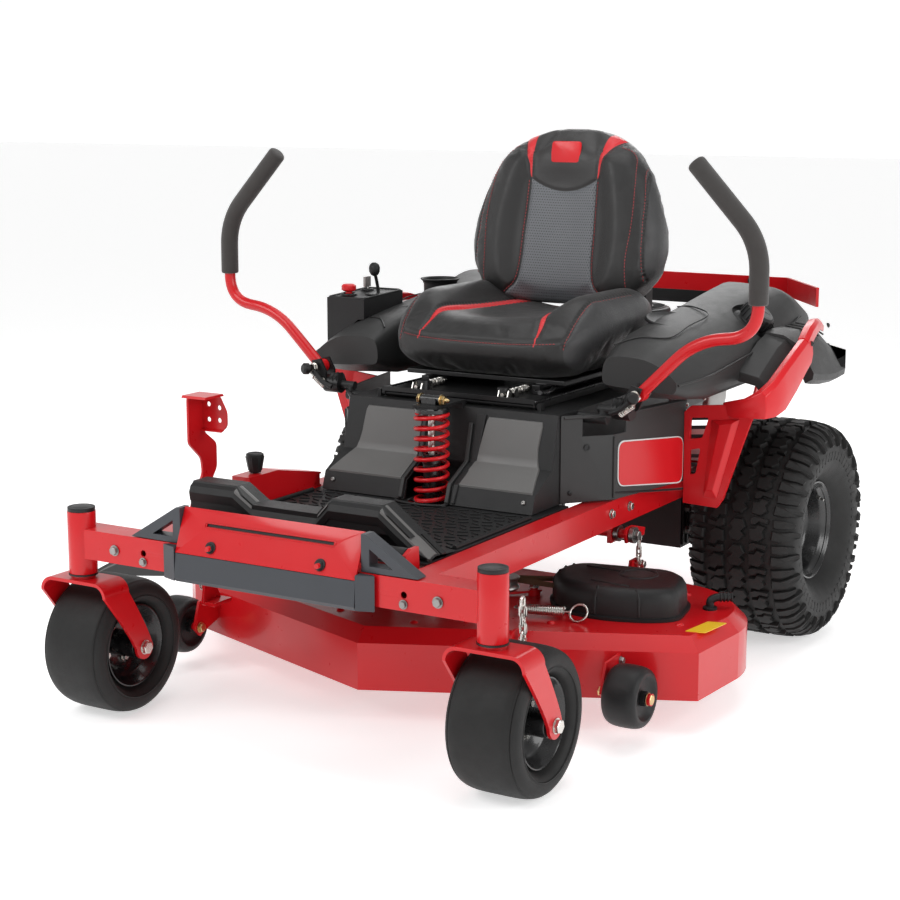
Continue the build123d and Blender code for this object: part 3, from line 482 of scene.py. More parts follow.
caster_half = smooth_profile([(50, 77), (52, 86), (57, 90), (66, 95), (73.5, 105), (75, 114), (73, 124),
                              (68, 131)], 4)
caster_half += [(64.5, 133.6), (62.6, 132.6), (60.8, 135.2)]
caster_half += smooth_profile([(58, 136.2), (46, 138.6), (28, 139.6), (0, 139.7)], 4)
for side, word in SIDES:
    centre = (side * CASTER_X, CASTER_Y, CASTER_RADIUS)
    shell = turned(mirror_profile(caster_half) + [(-46, 80), (46, 80)], centre, ACROSS, 96, closed=True)
    # two thin moulding rings on each sidewall
    rings = [turned([(s * 73.2, 103.2), (s * 75.6, 104.4), (s * 74.6, 106.6), (s * 71, 106)], centre,
                    ACROSS, 96, closed=True) for s in (1, -1)]
    piece(f"caster_tyre_{word}_smooth", joined(shell, *rings), RUBBER, f"caster_wheel_{word}",
          replaces=[f"caster_tyre_{word}"])
    lip = [(57, 85.2), (59.5, 84.6), (59.8, 82.4), (57.5, 80.2), (53, 78.5), (49, 74), (34, 70.5), (30, 66),
           (27, 60), (16, 54), (9, 46), (6, 30), (6, 27), (24, 26), (70, 25), (72, 24), (72, 9)]
    web = [(0, 9), (0, 52), (12, 58), (23, 64), (26, 70), (30, 74), (45, 77), (50, 82), (54, 84.6)]
    half_rim = turned(lip + web, centre, ACROSS, 72, closed=True)
    other = [(-a, r) for a, r in lip + web]
    wheel = joined(half_rim, turned(other, centre, ACROSS, 72, closed=True))
    piece(f"caster_rim_{word}_pressed", wheel, BLACK_PAINT, f"caster_wheel_{word}",
          replaces=[f"caster_rim_{word}"])
    nuts = []
    for face in (1, -1):
        for k in range(4):
            turn = pi / 2 * k + 0.5
            seat = (centre[0] + face * 9.5, centre[1] + 41 * cos(turn), centre[2] + 41 * sin(turn))
            nuts.append(hexagon(seat, (face, 0, 0), 13, 7, 9))
        nuts.append(turned([(0, 0), (0, 4.5), (4, 4.5), (6, 3), (11, 2.6), (11, 0)],
                           (centre[0] + face * 58, centre[1], centre[2] + 25.5), (0, 0.5, 1), 12))
    piece(f"caster_rim_{word}_nuts", joined(*nuts), ZINC, f"caster_wheel_{word}")

# fork: a bent strap over the wheel with rounded ends, welded to its stem
FORK_HALF, FORK_TOP, FORK_BEND, STRAP = 81.0, 292.0, 26.0, 7.0
AXLE_Z, AXLE_FORK_Y, HEAD_Y = 139.7, -1229.0, -1311.0
for side, word in SIDES:
    x0 = side * 473.0
    route = [(-FORK_HALF, 0)]
    for k in range(9):
        turn = pi - (pi / 2) * k / 8
        route.append((-FORK_HALF + FORK_BEND + FORK_BEND * cos(turn), -FORK_BEND + FORK_BEND * sin(turn)))
    leg_length = FORK_TOP - AXLE_Z
    stations = []
    for k in range(9):                     # the rounded lower end of a leg
        turn = pi / 2 * k / 8
        stations.append((-FORK_HALF, AXLE_Z - 25 * cos(turn), max(25 * sin(turn), 3.0), (-1, 0)))
    for k in range(1, 7):
        z = AXLE_Z + (leg_length - FORK_BEND) * k / 6
        stations.append((-FORK_HALF, z, 25 + 11 * k / 6, (-1, 0)))
    for k in range(1, 9):
        turn = pi - (pi / 2) * k / 8
        stations.append((-FORK_HALF + FORK_BEND + FORK_BEND * cos(turn),
                         FORK_TOP - FORK_BEND + FORK_BEND * sin(turn), 36.5, (cos(turn), sin(turn))))
    stations += [(-a, z, w, (-n[0], n[1])) for a, z, w, n in stations[::-1]]
    sections = []
    for a, z, half, normal in stations:
        share = min(max((z - AXLE_Z) / (FORK_TOP - FORK_BEND - AXLE_Z), 0.0), 1.0)
        middle = AXLE_FORK_Y + (HEAD_Y + 2 - AXLE_FORK_Y) * share ** 1.15
        ring = []
        for off, edge in ((STRAP / 2, -1), (STRAP / 2, 1), (-STRAP / 2, 1), (-STRAP / 2, -1)):
            ring.append((x0 + a + normal[0] * off, middle + edge * half, z + normal[1] * off))
        sections.append(ring)
    strap = lofted(sections)
    stem = turned([(0, 0), (0, 25), (7.5, 25), (8.5, 24), (8.5, 12.7), (133, 12.7), (135, 10), (135, 0)],
                  (x0, HEAD_Y, 295), (0, 0, 1), 40)
    piece(f"fork_{word}_strap", strap, RED, f"caster_{word}", bevel=1.6,
          replaces=[f"caster_fork_{word}"])
    piece(f"fork_{word}_stem", stem, RED, f"caster_{word}")
    bolts = [turned([(-84.5, 0), (-84.5, 8), (84.5, 8), (84.5, 0)], (x0, AXLE_FORK_Y, AXLE_Z), ACROSS, 24)]
    for face in (1, -1):
        bolts.append(hexagon((x0 + face * 84.6, AXLE_FORK_Y, AXLE_Z), (face, 0, 0), 24, 9, 15))
    piece(f"fork_{word}_axle_bolt", joined(*bolts), ZINC, f"caster_{word}", bevel=0.4)

# rear drive tyres: carcass, then rows of tread blocks that follow the crown
rear_half = smooth_profile([(84, 103), (86, 114), (92, 120), (106, 134), (118, 152), (124.5, 172),
                            (125.5, 190)], 4)
carcass_out = [(125.5, 190), (124.5, 203), (121, 215), (114, 226), (103, 234.5), (86, 240), (60, 243),
               (30, 244), (0, 244.2)]
rear_half += smooth_profile(carcass_out, 4)[1:]
crown = smooth_profile(carcass_out[::-1], 10)
crown = [(-a, r) for a, r in crown[::-1]] + crown[1:]
run = [0.0]
for one, two in zip(crown, crown[1:]):
    run.append(run[-1] + hypot(two[0] - one[0], two[1] - one[1]))
middle_run = run[-1] / 2


def on_crown(across, lift):
    """The tyre's section point at a signed distance from the crown's middle, lifted off the carcass."""
    want = min(max(across + middle_run, 0.0), run[-1] - 1e-6)
    index = max(i for i, r in enumerate(run) if r <= want)
    index = min(index, len(run) - 2)
    share = (want - run[index]) / (run[index + 1] - run[index])
    one, two = Vector(crown[index]), Vector(crown[index + 1])
    way = (two - one).normalized()
    spot = one.lerp(two, share) + Vector((-way.y, way.x)) * lift
    return spot.x, spot.y


def tread_block(outline, centre, turn, side, lift, taper=0.86):
    """One lug: an outline in (across, along) millimetres, wrapped on the tyre."""
    fine = []
    for i, one in enumerate(outline):
        two = outline[(i + 1) % len(outline)]
        pieces = max(1, round(hypot(two[0] - one[0], two[1] - one[1]) / 13))
        fine += [(one[0] + (two[0] - one[0]) * k / pieces, one[1] + (two[1] - one[1]) * k / pieces)
                 for k in range(pieces)]
    mid_a = sum(a for a, b in fine) / len(fine)
    mid_b = sum(b for a, b in fine) / len(fine)
    points = []
    for height, shrink in ((-1.5, 1.0), (lift * 0.72, (1 + taper) / 2), (lift, taper)):
        for a, b in fine:
            across, along = mid_a + (a - mid_a) * shrink, mid_b + (b - mid_b) * shrink
            x, radius = on_crown(across, height)
            angle = turn + along / CARCASS_RADIUS
            points.append((centre[0] + side * x, centre[1] + radius * sin(angle), centre[2] + radius
                           * cos(angle)))
    size = len(fine)
    faces = [(s * size + i, s * size + (i + 1) % size, (s + 1) * size + (i + 1) % size, (s + 1) * size + i)
             for s in (0, 1) for i in range(size)]
    x, radius = on_crown(mid_a, lift)
    angle = turn + mid_b / CARCASS_RADIUS
    points.append((centre[0] + side * x, centre[1] + radius * sin(angle), centre[2] + radius * cos(angle)))
    faces += [(2 * size + i, 2 * size + (i + 1) % size, 3 * size) for i in range(size)]
    return points, faces


PITCHES = 27
CENTRE_BLOCK = [(-14, -24), (6, -27), (20, -12), (10, -4), (22, 8), (12, 25), (-8, 26), (-20, 12), (-9, 3),
                (-22, -10)]
MID_BLOCK = [(30, -22), (52, -26), (66, -14), (60, -2), (68, 10), (50, 14), (44, 5), (28, 4)]
MID_BLOCK_B = [(30, 10), (42, 12), (50, 20), (70, 16), (72, 26), (40, 30), (28, 26)]
SHOULDER_LONG = [(76, -20), (98, -22), (126, -16), (150, -10), (150, 2), (124, 5), (96, 0), (78, 2)]
SHOULDER_SHORT = [(80, 8), (100, 7), (130, 12), (134, 24), (104, 28), (78, 26)]
for side, word in SIDES:
    centre = (side * REAR_X, 0.0, REAR_RADIUS)
    shell = turned(mirror_profile(rear_half) + [(-78, 108), (78, 108)], centre, ACROSS, 108, closed=True)
    lugs = []
    for k in range(PITCHES):
        turn = 2 * pi * k / PITCHES
        sway = 3.0 * sin(turn * 5)
        lugs.append(tread_block([(a, b + sway) for a, b in CENTRE_BLOCK], centre, turn, side, 9.6))
        for hand in (1, -1):
            shift = 0.0 if hand == 1 else pi / PITCHES
            for outline, lift in ((MID_BLOCK, 9.4), (MID_BLOCK_B, 9.4), (SHOULDER_LONG, 8.5),
                                  (SHOULDER_SHORT, 7.0)):
                lugs.append(tread_block([(hand * a, hand * b) for a, b in outline], centre, turn + shift,
                                        side, lift))
    side_bars = []
    for k in range(PITCHES * 2):
        turn = 2 * pi * (k + 0.5) / (PITCHES * 2)
        for face in (1, -1):
            bar = []
            for out, radius in ((0, 166), (2.6, 167), (2.6, 186), (0, 190)):
                for edge in (-0.016, 0.016):
                    a = turn + edge + (radius - 175) * 0.0012
                    depth = 124.2 if radius > 180 else 122.6
                    bar.append((centre[0] + face * (depth + out - 0.6), centre[1] + radius * sin(a),
                                centre[2] + radius * cos(a)))
            side_bars.append((bar, [(0, 1, 3, 2), (2, 3, 5, 4), (4, 5, 7, 6), (0, 2, 4, 6), (1, 7, 5, 3),
                                    (0, 6, 7, 1)]))
    piece(f"rear_tyre_{word}_tread", joined(shell, *lugs, *side_bars), RUBBER, f"rear_wheel_{word}",
          sharp=30, replaces=[f"rear_tyre_{word}"])
    # rim: deep dish outside, five wheel nuts round the hub
    out = side
    dish = [(89, 114.6), (91.5, 113.2), (91.5, 110), (88, 106.5), (82, 104), (78, 97), (70, 92), (44, 90),
            (38, 86), (34, 78), (22, 74), (17, 68), (16, 44), (22, 38), (30, 36), (31, 17), (25, 16),
            (12, 16), (10, 40), (10, 70), (18, 80), (30, 90), (66, 96), (74, 104), (80, 110), (86, 114.4)]
    inner = [(-89, 114.6), (-91.5, 113.2), (-91.5, 110), (-88, 106.5), (-82, 104), (-78, 97), (-70, 92),
             (32, 90), (32, 93), (-66, 96), (-74, 104), (-80, 110), (-86, 114.4)]
    rim = joined(turned([(a * out, r) for a, r in dish], centre, ACROSS, 80, closed=True),
                 turned([(a * out, r) for a, r in inner], centre, ACROSS, 80, closed=True))
    piece(f"rear_rim_{word}_pressed", rim, BLACK_PAINT, f"rear_wheel_{word}",
          replaces=[f"rear_rim_{word}"])
    hub = [turned([(-160, 0), (-160, 15), (38, 15), (42, 12), (42, 0)], centre, (side, 0, 0), 28)]
    for k in range(5):
        turn = radians(72 * k)
        seat = (centre[0] + side * 17, centre[1] + 57 * sin(turn), centre[2] + 57 * cos(turn))
        hub.append(hexagon(seat, (side, 0, 0), 20, 13, 13))
        hub.append(turned([(0, 0), (0, 5.5), (23, 5.5), (25, 4), (25, 0)], seat, (side, 0, 0), 14))
    hub.append(hexagon((centre[0] + side * 32, centre[1], centre[2]), (side, 0, 0), 32, 12, 22))
    hub.append(turned([(0, 0), (0, 4.6), (10, 4.2), (11, 3), (20, 3), (21, 0)],
                      (centre[0] + side * 74, centre[1] + 60, centre[2] + 66), (side, -0.3, -0.3), 14))
    piece(f"rear_rim_{word}_nuts", joined(*hub), STEEL, f"rear_wheel_{word}", bevel=0.4)


# ---------------------------------------------------------------- seat
RAY_BACK = 0.3                        # metres, the start of a ray before its point
BACK_FOOT, BACK_LEAN = (0.0, -205.0, 796.0), radians(12.0)
BACK_UP = Vector((0, sin(BACK_LEAN), cos(BACK_LEAN)))
BACK_OUT = Vector((0, cos(BACK_LEAN), -sin(BACK_LEAN)))      # from the seated side to the rear


def step(low, high, value):
    t = min(max((value - low) / (high - low), 0.0), 1.0)
    return t * t * (3 - 2 * t)


def curve(table, value):
    """A smooth reading from (position, value) pairs."""
    if value <= table[0][0]:
        return table[0][1]
    for (a, one), (b, two) in zip(table, table[1:]):
        if value <= b:
            t = (value - a) / (b - a)
            return one + (two - one) * t * t * (3 - 2 * t) if abs(two - one) > 60 else one + (two - one) * t
    return table[-1][1]


def block_grid(across, deep, high):
    """Surface points of a cube from -1 to 1, as a closed quad mesh."""
    index, points, faces = {}, [], []

    def add(key):
        if key not in index:
            index[key] = len(points)
            points.append((key[0] / across * 2 - 1, key[1] / deep * 2 - 1, key[2] / high * 2 - 1))
        return index[key]
    for fixed, (u_axis, v_axis) in ((0, (1, 2)), (1, (0, 2)), (2, (0, 1))):
        counts = (across, deep, high)
        for level in (0, counts[fixed]):
            for i in range(counts[u_axis]):
                for j in range(counts[v_axis]):
                    quad = []
                    for du, dv in ((0, 0), (1, 0), (1, 1), (0, 1)):
                        key = [0, 0, 0]
                        key[fixed], key[u_axis], key[v_axis] = level, i + du, j + dv
                        quad.append(add(tuple(key)))
                    faces.append(tuple(quad))
    return points, faces


def softened(p, power):
    """A cube point moved on to a round-edged block."""
    largest = max(abs(c) for c in p)
    norm = sum(abs(c) ** power for c in p) ** (1 / power)
    return [c * largest / norm for c in p]


BACK_HALF = [(-40, 150), (-20, 190), (10, 219), (60, 240), (110, 247), (170, 241), (230, 222), (290, 196),
             (340, 166), (375, 132), (400, 92), (404, 80)]


def back_point(across, up, out):
    """A backrest point: across, up along the rest, and back from its front plane, in millimetres."""
    return Vector(BACK_FOOT) + Vector((across, 0, 0)) + BACK_UP * up + BACK_OUT * out


def back_shape():
    points, faces = block_grid(26, 8, 24)
    made = []
    for p in points:
        a, b, c = softened(p, 5.0)
        up = 184 + c * 214
        half = curve(BACK_HALF, up)
        across = a * half
        depth = b * 56
        side = abs(across) / max(half, 1)
        if b < 0:
            bolster = 24 * step(0.40, 0.66, side) * (1 - step(0.86, 1.02, side)) * (1 - 0.55 * step(300,
                                                                                                    400,
                                                                                                    up))
            depth -= bolster * min(1.0, -b * 1.4)
            depth += 9 * (1 - step(0.0, 0.42, side)) * (1 - step(250, 300, up)) * min(1.0, -b * 1.4)
            depth -= 8 * step(250, 330, up) * (1 - step(0.3, 0.5, side)) * min(1.0, -b * 1.4)
        depth *= 1 - 0.28 * step(300, 404, up)
        depth += 4 * step(0.5, 1.0, side)
        made.append(tuple(back_point(across, up, 66 + depth)))
    return made, faces


CUSHION_MID = (0.0, -328.0, 700.0)
FRONT_Y = -585.0


def cushion_shape():
    points, faces = block_grid(26, 24, 8)
    made = []
    for p in points:
        a, b, c = softened(p, 4.6)
        x, y, z = a * 245, CUSHION_MID[1] + b * 251, c * 58
        if c > 0:
            wide = abs(x)
            ridge = 54 * step(108, 182, wide) * (1 - 0.30 * step(205, 243, wide))
            ridge *= 1 - 0.92 * (1 - step(-570, -410, y))
            ridge *= 1 - 0.35 * step(-200, -90, y)
            dish = 14 * (1 - step(0, 125, wide)) * step(-520, -430, y)
            z += (ridge - dish) * min(1.0, c * 1.5)
            z -= 14 * (1 - step(-578, -480, y)) * c
        else:
            y += 26 * step(0.1, 1.0, -c) * (1 - step(-560, -400, y))
            x *= 1 - 0.07 * step(0.2, 1.0, -c)
        made.append((x, y, CUSHION_MID[2] + 3 + z))
    return made, faces


def stuffed(name, shape, swell, voxel, frames=20):
    """Fill a closed shape like foam in a cover: remesh, blow up by cloth pressure, cap the movement."""
    points, faces = shape
    mesh = bpy.data.meshes.new(name)
    mesh.from_pydata([at(*p) for p in points], [], faces)
    made = bpy.data.objects.new(name, mesh)
    bpy.context.scene.collection.objects.link(made)
    bpy.context.view_layer.objects.active = made
    grid = made.modifiers.new("grid", "REMESH")
    grid.mode = "VOXEL"
    grid.voxel_size = voxel * MM
    grid.use_smooth_shade = True
    bpy.ops.object.select_all(action="DESELECT")
    made.select_set(True)
    bpy.ops.object.modifier_apply(modifier="grid")
    start = [v.co.copy() for v in made.data.vertices]
    cloth = made.modifiers.new("cloth", "CLOTH")
    cloth.settings.use_pressure = True
    cloth.settings.uniform_pressure_force = 4.0
    cloth.settings.effector_weights.gravity = 0.0
    cloth.settings.quality = 5
    cloth.settings.tension_stiffness = 25
    cloth.settings.compression_stiffness = 25
    cloth.collision_settings.use_collision = False
    cloth.point_cache.frame_start, cloth.point_cache.frame_end = 1, frames
    for number in range(1, frames + 1):
        bpy.context.scene.frame_set(number)
    bpy.ops.object.modifier_apply(modifier="cloth")
    bpy.context.scene.frame_set(1)
    for vert, old in zip(made.data.vertices, start):
        move = vert.co - old
        if move.length > swell * MM:
            vert.co = old + move.normalized() * (swell * MM)
    relax = made.modifiers.new("relax", "SMOOTH")
    relax.factor, relax.iterations = 0.5, 4
    bpy.ops.object.modifier_apply(modifier="relax")
    fine = made.modifiers.new("fine", "SUBSURF")
    fine.levels = fine.render_levels = 1
    bpy.ops.object.modifier_apply(modifier="fine")
    for face in made.data.polygons:
        face.use_smooth = True
    return made


def sew(made, seams, depth, width):
    """Pull the cover in along each seam, given as rows of row-frame points on it."""
    spots = [p for seam in seams for p in seam]
    tree = KDTree(len(spots))
    for i, p in enumerate(spots):
        tree.insert(p, i)
    tree.balance()
    normals = [v.normal.copy() for v in made.data.vertices]
    for vert, normal in zip(made.data.vertices, normals):
        _, _, away = tree.find(vert.co)
        if away < width * 2.5 * MM:
            vert.co -= normal * (depth * MM * 2.718281828 ** (-(away / (width * MM)) ** 2))
    made.data.update()


def on_cover(made, flat_points, aim):
    """Drop a line of row-frame points on to the cover along a direction, close together."""
    tree = BVHTree.FromObject(made, bpy.context.evaluated_depsgraph_get())
    route = []
    samples = spline(flat_points, 10)
    for p in samples:
        hit, normal, _, _ = tree.ray_cast(p - aim * RAY_BACK, aim)
        if hit is not None:
            route.append((hit, normal))
    return route


def stitches(name, routes, thread, body, pitch=7.5, length=4.8, radius=0.85, off=0.2):
    """Short raised thread stitches along each route of (point, normal)."""
    shapes = []
    for route in routes:
        gone, nxt = 0.0, 0.0
        for (p, n), (q, m) in zip(route, route[1:]):
            span = (q - p).length / MM
            while nxt <= gone + span and span > 1e-6:
                here = p.lerp(q, (nxt - gone) / span)
                way = (q - p).normalized()
                lift = n.lerp(m, 0.5).normalized()
                one = here - way * (length / 2 * MM) + lift * (off * MM)
                two = here + way * (length / 2 * MM) + lift * (off * MM)
                mid = here + lift * ((off + radius * 0.9) * MM)
                pts = [((v.x - MID_X) / MM, (v.y - AXLE_Y) / MM, v.z / MM) for v in (one, mid, two)]
                shapes.append(swept(pts, [radius * 0.6, radius, radius * 0.6], 6))
                nxt += pitch
            gone += span
    return piece(name, joined(*shapes), thread, body)


def float_curve(tree, value, points, low, high):
    """A value node curve: points are (position, value) in metres, positions mapped from low..high."""
    scaled = ranged(tree, value, low, high, 0.0, 1.0)
    made = node(tree, "ShaderNodeFloatCurve")
    tree.links.new(scaled, made.inputs["Value"])
    line = made.mapping.curves[0]
    wanted = [((p - low) / (high - low), v * 4) for p, v in points]
    while len(line.points) < len(wanted):
        line.points.new(0.5, 0.5)
    for point, (a, b) in zip(line.points, wanted):
        point.location = (a, b)
        point.handle_type = "AUTO"
    made.mapping.update()
    return math(tree, "MULTIPLY", made.outputs[0], 0.25)


def leather(name):
    """Seat cover: black vinyl with grain, ready for zones of other colours."""
    made, tree, shader, coords = blank(name)
    cells = node(tree, "ShaderNodeTexVoronoi", feature="DISTANCE_TO_EDGE")
    cells.inputs["Scale"].default_value = 520.0
    tree.links.new(coords, cells.inputs["Vector"])
    crease = ranged(tree, cells.outputs["Distance"], 0.0, 0.12, 0.0, 1.0)
    folds = noise_node(tree, coords, 26.0, 4.0)
    shader.inputs["Sheen Weight"].default_value = 0.12
    shader.inputs["Sheen Roughness"].default_value = 0.4
    return made, tree, shader, coords, crease, folds


def band(tree, value, low, high, soft=0.0008):
    """1 where value lies between two levels or sockets, with soft edges."""
    above = math(tree, "DIVIDE", math(tree, "SUBTRACT", value, low), soft, clamp=True)
    below = math(tree, "DIVIDE", math(tree, "SUBTRACT", high, value), soft, clamp=True)
    return math(tree, "MULTIPLY", above, below)


def finish_leather(tree, shader, coords, crease, folds, tone, holes):
    rough = ranged(tree, folds, 0.3, 0.7, 0.34, 0.46)
    tree.links.new(tone, shader.inputs["Base Color"])
    tree.links.new(rough, shader.inputs["Roughness"])
    base = bump(tree, folds, 0.25, 0.004)
    grain = bump(tree, crease, 0.35, 0.0004, base)
    if holes is not None:
        grain = bump(tree, holes, 0.8, 0.0009, grain)
    tree.links.new(grain, shader.inputs["Normal"])


def perforations(tree, coords, mask, across, along):
    """A grid of small round holes, offset row by row, where the mask is 1."""
    pitch = 0.0062
    row = math(tree, "FLOOR", math(tree, "DIVIDE", along, pitch))
    odd = math(tree, "MODULO", math(tree, "ABSOLUTE", row), 2.0)
    a = math(tree, "ADD", math(tree, "DIVIDE", across, pitch), math(tree, "MULTIPLY", odd, 0.5))
    fa = math(tree, "SUBTRACT", math(tree, "FRACT", a), 0.5)
    fb = math(tree, "SUBTRACT", math(tree, "FRACT", math(tree, "DIVIDE", along, pitch)), 0.5)
    away = math(tree, "SQRT", math(tree, "ADD", math(tree, "MULTIPLY", fa, fa), math(tree, "MULTIPLY", fb,
                                                                                     fb)))
    dot = ranged(tree, away, 0.17, 0.27, 0.0, 1.0)
    return dot, math(tree, "MULTIPLY", math(tree, "SUBTRACT", 1.0, dot), mask)


RED_VINYL, SEAT_GREY, MESH_GREY = (0.58, 0.010, 0.016), (0.026, 0.026, 0.027), (0.12, 0.127, 0.138)
SEAT_BLACK, HEAD_DARK = (0.0085, 0.008, 0.008), (0.018, 0.017, 0.017)
PANEL_HALF = [(-0.03, 0.150), (-0.005, 0.122), (0.02, 0.100), (0.06, 0.091), (0.14, 0.0885), (0.20, 0.086),
              (0.26, 0.085), (0.33, 0.0885), (0.40, 0.098)]
RED_HALF = [(-0.03, 0.0), (0.262, 0.0), (0.264, 0.0855), (0.30, 0.094), (0.34, 0.113), (0.37, 0.138),
            (0.40, 0.160)]
SIDE_HALF = [(-0.03, 0.236), (0.04, 0.224), (0.13, 0.219), (0.22, 0.213), (0.29, 0.200), (0.33, 0.186),
             (0.37, 0.164), (0.40, 0.140)]
DIP_AT, DIP_DEPTH = 0.262, 0.027


def seatback_cover():
    made, tree, shader, coords, crease, folds = leather("seatback_cover")
    split = node(tree, "ShaderNodeSeparateXYZ")
    tree.links.new(coords, split.inputs[0])
    foot = at(*BACK_FOOT)
    across = math(tree, "SUBTRACT", split.outputs[0], foot.x)
    wide = math(tree, "ABSOLUTE", across)
    y = math(tree, "SUBTRACT", split.outputs[1], foot.y)
    z = math(tree, "SUBTRACT", split.outputs[2], foot.z)
    up = math(tree, "ADD", math(tree, "MULTIPLY", y, sin(BACK_LEAN)), math(tree, "MULTIPLY", z,
                                                                           cos(BACK_LEAN)))
    out = math(tree, "SUBTRACT", math(tree, "MULTIPLY", y, cos(BACK_LEAN)),
               math(tree, "MULTIPLY", z, sin(BACK_LEAN)))
    front = math(tree, "LESS_THAN", out, 0.085)
    panel = float_curve(tree, up, PANEL_HALF, -0.03, 0.40)
    inside = math(tree, "DIVIDE", math(tree, "SUBTRACT", panel, wide), 0.0008, clamp=True)
    inside = math(tree, "MULTIPLY", inside, front)
    share = math(tree, "DIVIDE", wide, 0.085)
    seam = math(tree, "ADD", DIP_AT - DIP_DEPTH, math(tree, "MULTIPLY", math(tree, "MULTIPLY", share,
                                                                             share), DIP_DEPTH))
    head = math(tree, "DIVIDE", math(tree, "SUBTRACT", up, seam), 0.0008, clamp=True)
    mesh_zone = math(tree, "MULTIPLY", inside, math(tree, "SUBTRACT", 1.0, head))
    red_edge = float_curve(tree, up, RED_HALF, -0.03, 0.40)
    red = math(tree, "MULTIPLY", band(tree, wide, panel, red_edge), math(tree, "GREATER_THAN", up, DIP_AT))
    red = math(tree, "MULTIPLY", red, math(tree, "LESS_THAN", out, 0.055))
    side_edge = float_curve(tree, up, SIDE_HALF, -0.03, 0.40)
    flank = math(tree, "DIVIDE", math(tree, "SUBTRACT", wide, side_edge), 0.0008, clamp=True)
    flank = math(tree, "MULTIPLY", flank, math(tree, "LESS_THAN", out, 0.120))
    dot, holes = perforations(tree, coords, mesh_zone, across, up)
    tone = mixed(tree, folds, tuple(c * 0.85 for c in SEAT_BLACK), SEAT_BLACK)
    tone = mixed(tree, math(tree, "MULTIPLY", inside, head), tone, HEAD_DARK)
    weave = mixed(tree, dot, (0.012, 0.012, 0.013), MESH_GREY)
    tone = mixed(tree, mesh_zone, tone, weave)
    tone = mixed(tree, flank, tone, SEAT_GREY)
    tone = mixed(tree, red, tone, RED_VINYL)
    finish_leather(tree, shader, coords, crease, folds, tone, holes)
    return made


def cushion_cover():
    made, tree, shader, coords, crease, folds = leather("cushion_cover")
    split = node(tree, "ShaderNodeSeparateXYZ")
    tree.links.new(coords, split.inputs[0])
    middle = at(*CUSHION_MID)
    wide = math(tree, "ABSOLUTE", math(tree, "SUBTRACT", split.outputs[0], middle.x))
    back = math(tree, "SUBTRACT", split.outputs[1], at(0, FRONT_Y, 0).y)
    high = math(tree, "SUBTRACT", split.outputs[2], middle.z)
    top = math(tree, "GREATER_THAN", high, 0.016)
    # red inserts curve in from the front corners towards the back
    line = float_curve(tree, back, INSERT_LINE, 0.0, 0.50)
    thick = float_curve(tree, back, INSERT_WIDTH, 0.0, 0.50)
    away = math(tree, "ABSOLUTE", math(tree, "SUBTRACT", wide, line))
    red = math(tree, "DIVIDE", math(tree, "SUBTRACT", thick, away), 0.0008, clamp=True)
    red = math(tree, "MULTIPLY", red, math(tree, "MULTIPLY", top, math(tree, "LESS_THAN", back, 0.46)))
    edge = float_curve(tree, back, FLANK_LINE, 0.0, 0.50)
    flank = math(tree, "DIVIDE", math(tree, "SUBTRACT", wide, edge), 0.0008, clamp=True)
    tone = mixed(tree, folds, tuple(c * 0.85 for c in SEAT_BLACK), SEAT_BLACK)
    tone = mixed(tree, flank, tone, SEAT_GREY)
    tone = mixed(tree, red, tone, RED_VINYL)
    finish_leather(tree, shader, coords, crease, folds, tone, None)
    return made


INSERT_LINE = [(0.0, 0.146), (0.04, 0.144), (0.10, 0.132), (0.20, 0.112), (0.34, 0.098), (0.50, 0.092)]
INSERT_WIDTH = [(0.0, 0.001), (0.03, 0.002), (0.10, 0.007), (0.20, 0.011), (0.35, 0.014), (0.50, 0.016)]
FLANK_LINE = [(0.0, 0.196), (0.04, 0.205), (0.10, 0.212), (0.20, 0.216), (0.35, 0.216), (0.50, 0.205)]

backrest = stuffed("seat_back_cushion", back_shape(), 9.0, 5.0)
backrest.data.materials.append(seatback_cover())
cushion = stuffed("seat_base_cushion", cushion_shape(), 10.0, 5.0)
cushion.data.materials.append(cushion_cover())


def back_line(pairs):
    """Points above the backrest's face, from (across, up) in millimetres."""
    return [at(*back_point(a, u, 40)) for a, u in pairs]


toward = BACK_OUT.copy()
edges = {}
for hand in (1, -1):
    edges[f"panel{hand}"] = back_line([(hand * h * 1000, u * 1000) for u, h in PANEL_HALF
                                       if -0.01 <= u <= 0.37])
    edges[f"side{hand}"] = back_line([(hand * h * 1000 * 0.985, u * 1000) for u, h in SIDE_HALF
                                      if u < 0.39])
    edges[f"red{hand}"] = back_line([(hand * 86, 266), (hand * 94, 300), (hand * 113, 340),
                                     (hand * 138, 370)])
edges["head"] = back_line([(a, 262 - 27 * (1 - (a / 85) ** 2)) for a in (-85, -60, -30, 0, 30, 60, 85)])
routes = {k: on_cover(backrest, v, toward) for k, v in edges.items()}
sew(backrest, [[p for p, n in r] for r in routes.values()], 3.6, 5.0)
routes = {k: on_cover(backrest, v, toward) for k, v in edges.items()}
THREAD = surface("red_thread", (0.42, 0.03, 0.035), 0.7, grain=0.3, dark=0.8, sheen=0.3)
beside = []
for hand in (1, -1):
    beside.append(on_cover(backrest, back_line([(hand * (h * 1000 + 5), u * 1000) for u, h in PANEL_HALF
                                                if -0.01 <= u <= 0.26]), toward))
    beside.append(on_cover(backrest, back_line([(hand * (h * 1000 - 7), u * 1000) for u, h in SIDE_HALF
                                                if 0.0 <= u < 0.38]), toward))
    beside.append(on_cover(backrest, back_line([(hand * a, u) for a, u in
                                                ((135, 340), (161, 329), (179, 288), (189, 174), (184, 82),
                                                 (186, 10))]), toward))
stitches("seat_back_stitching", beside, THREAD, "seat")
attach(backrest, "seat")
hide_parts("seat_backrest")
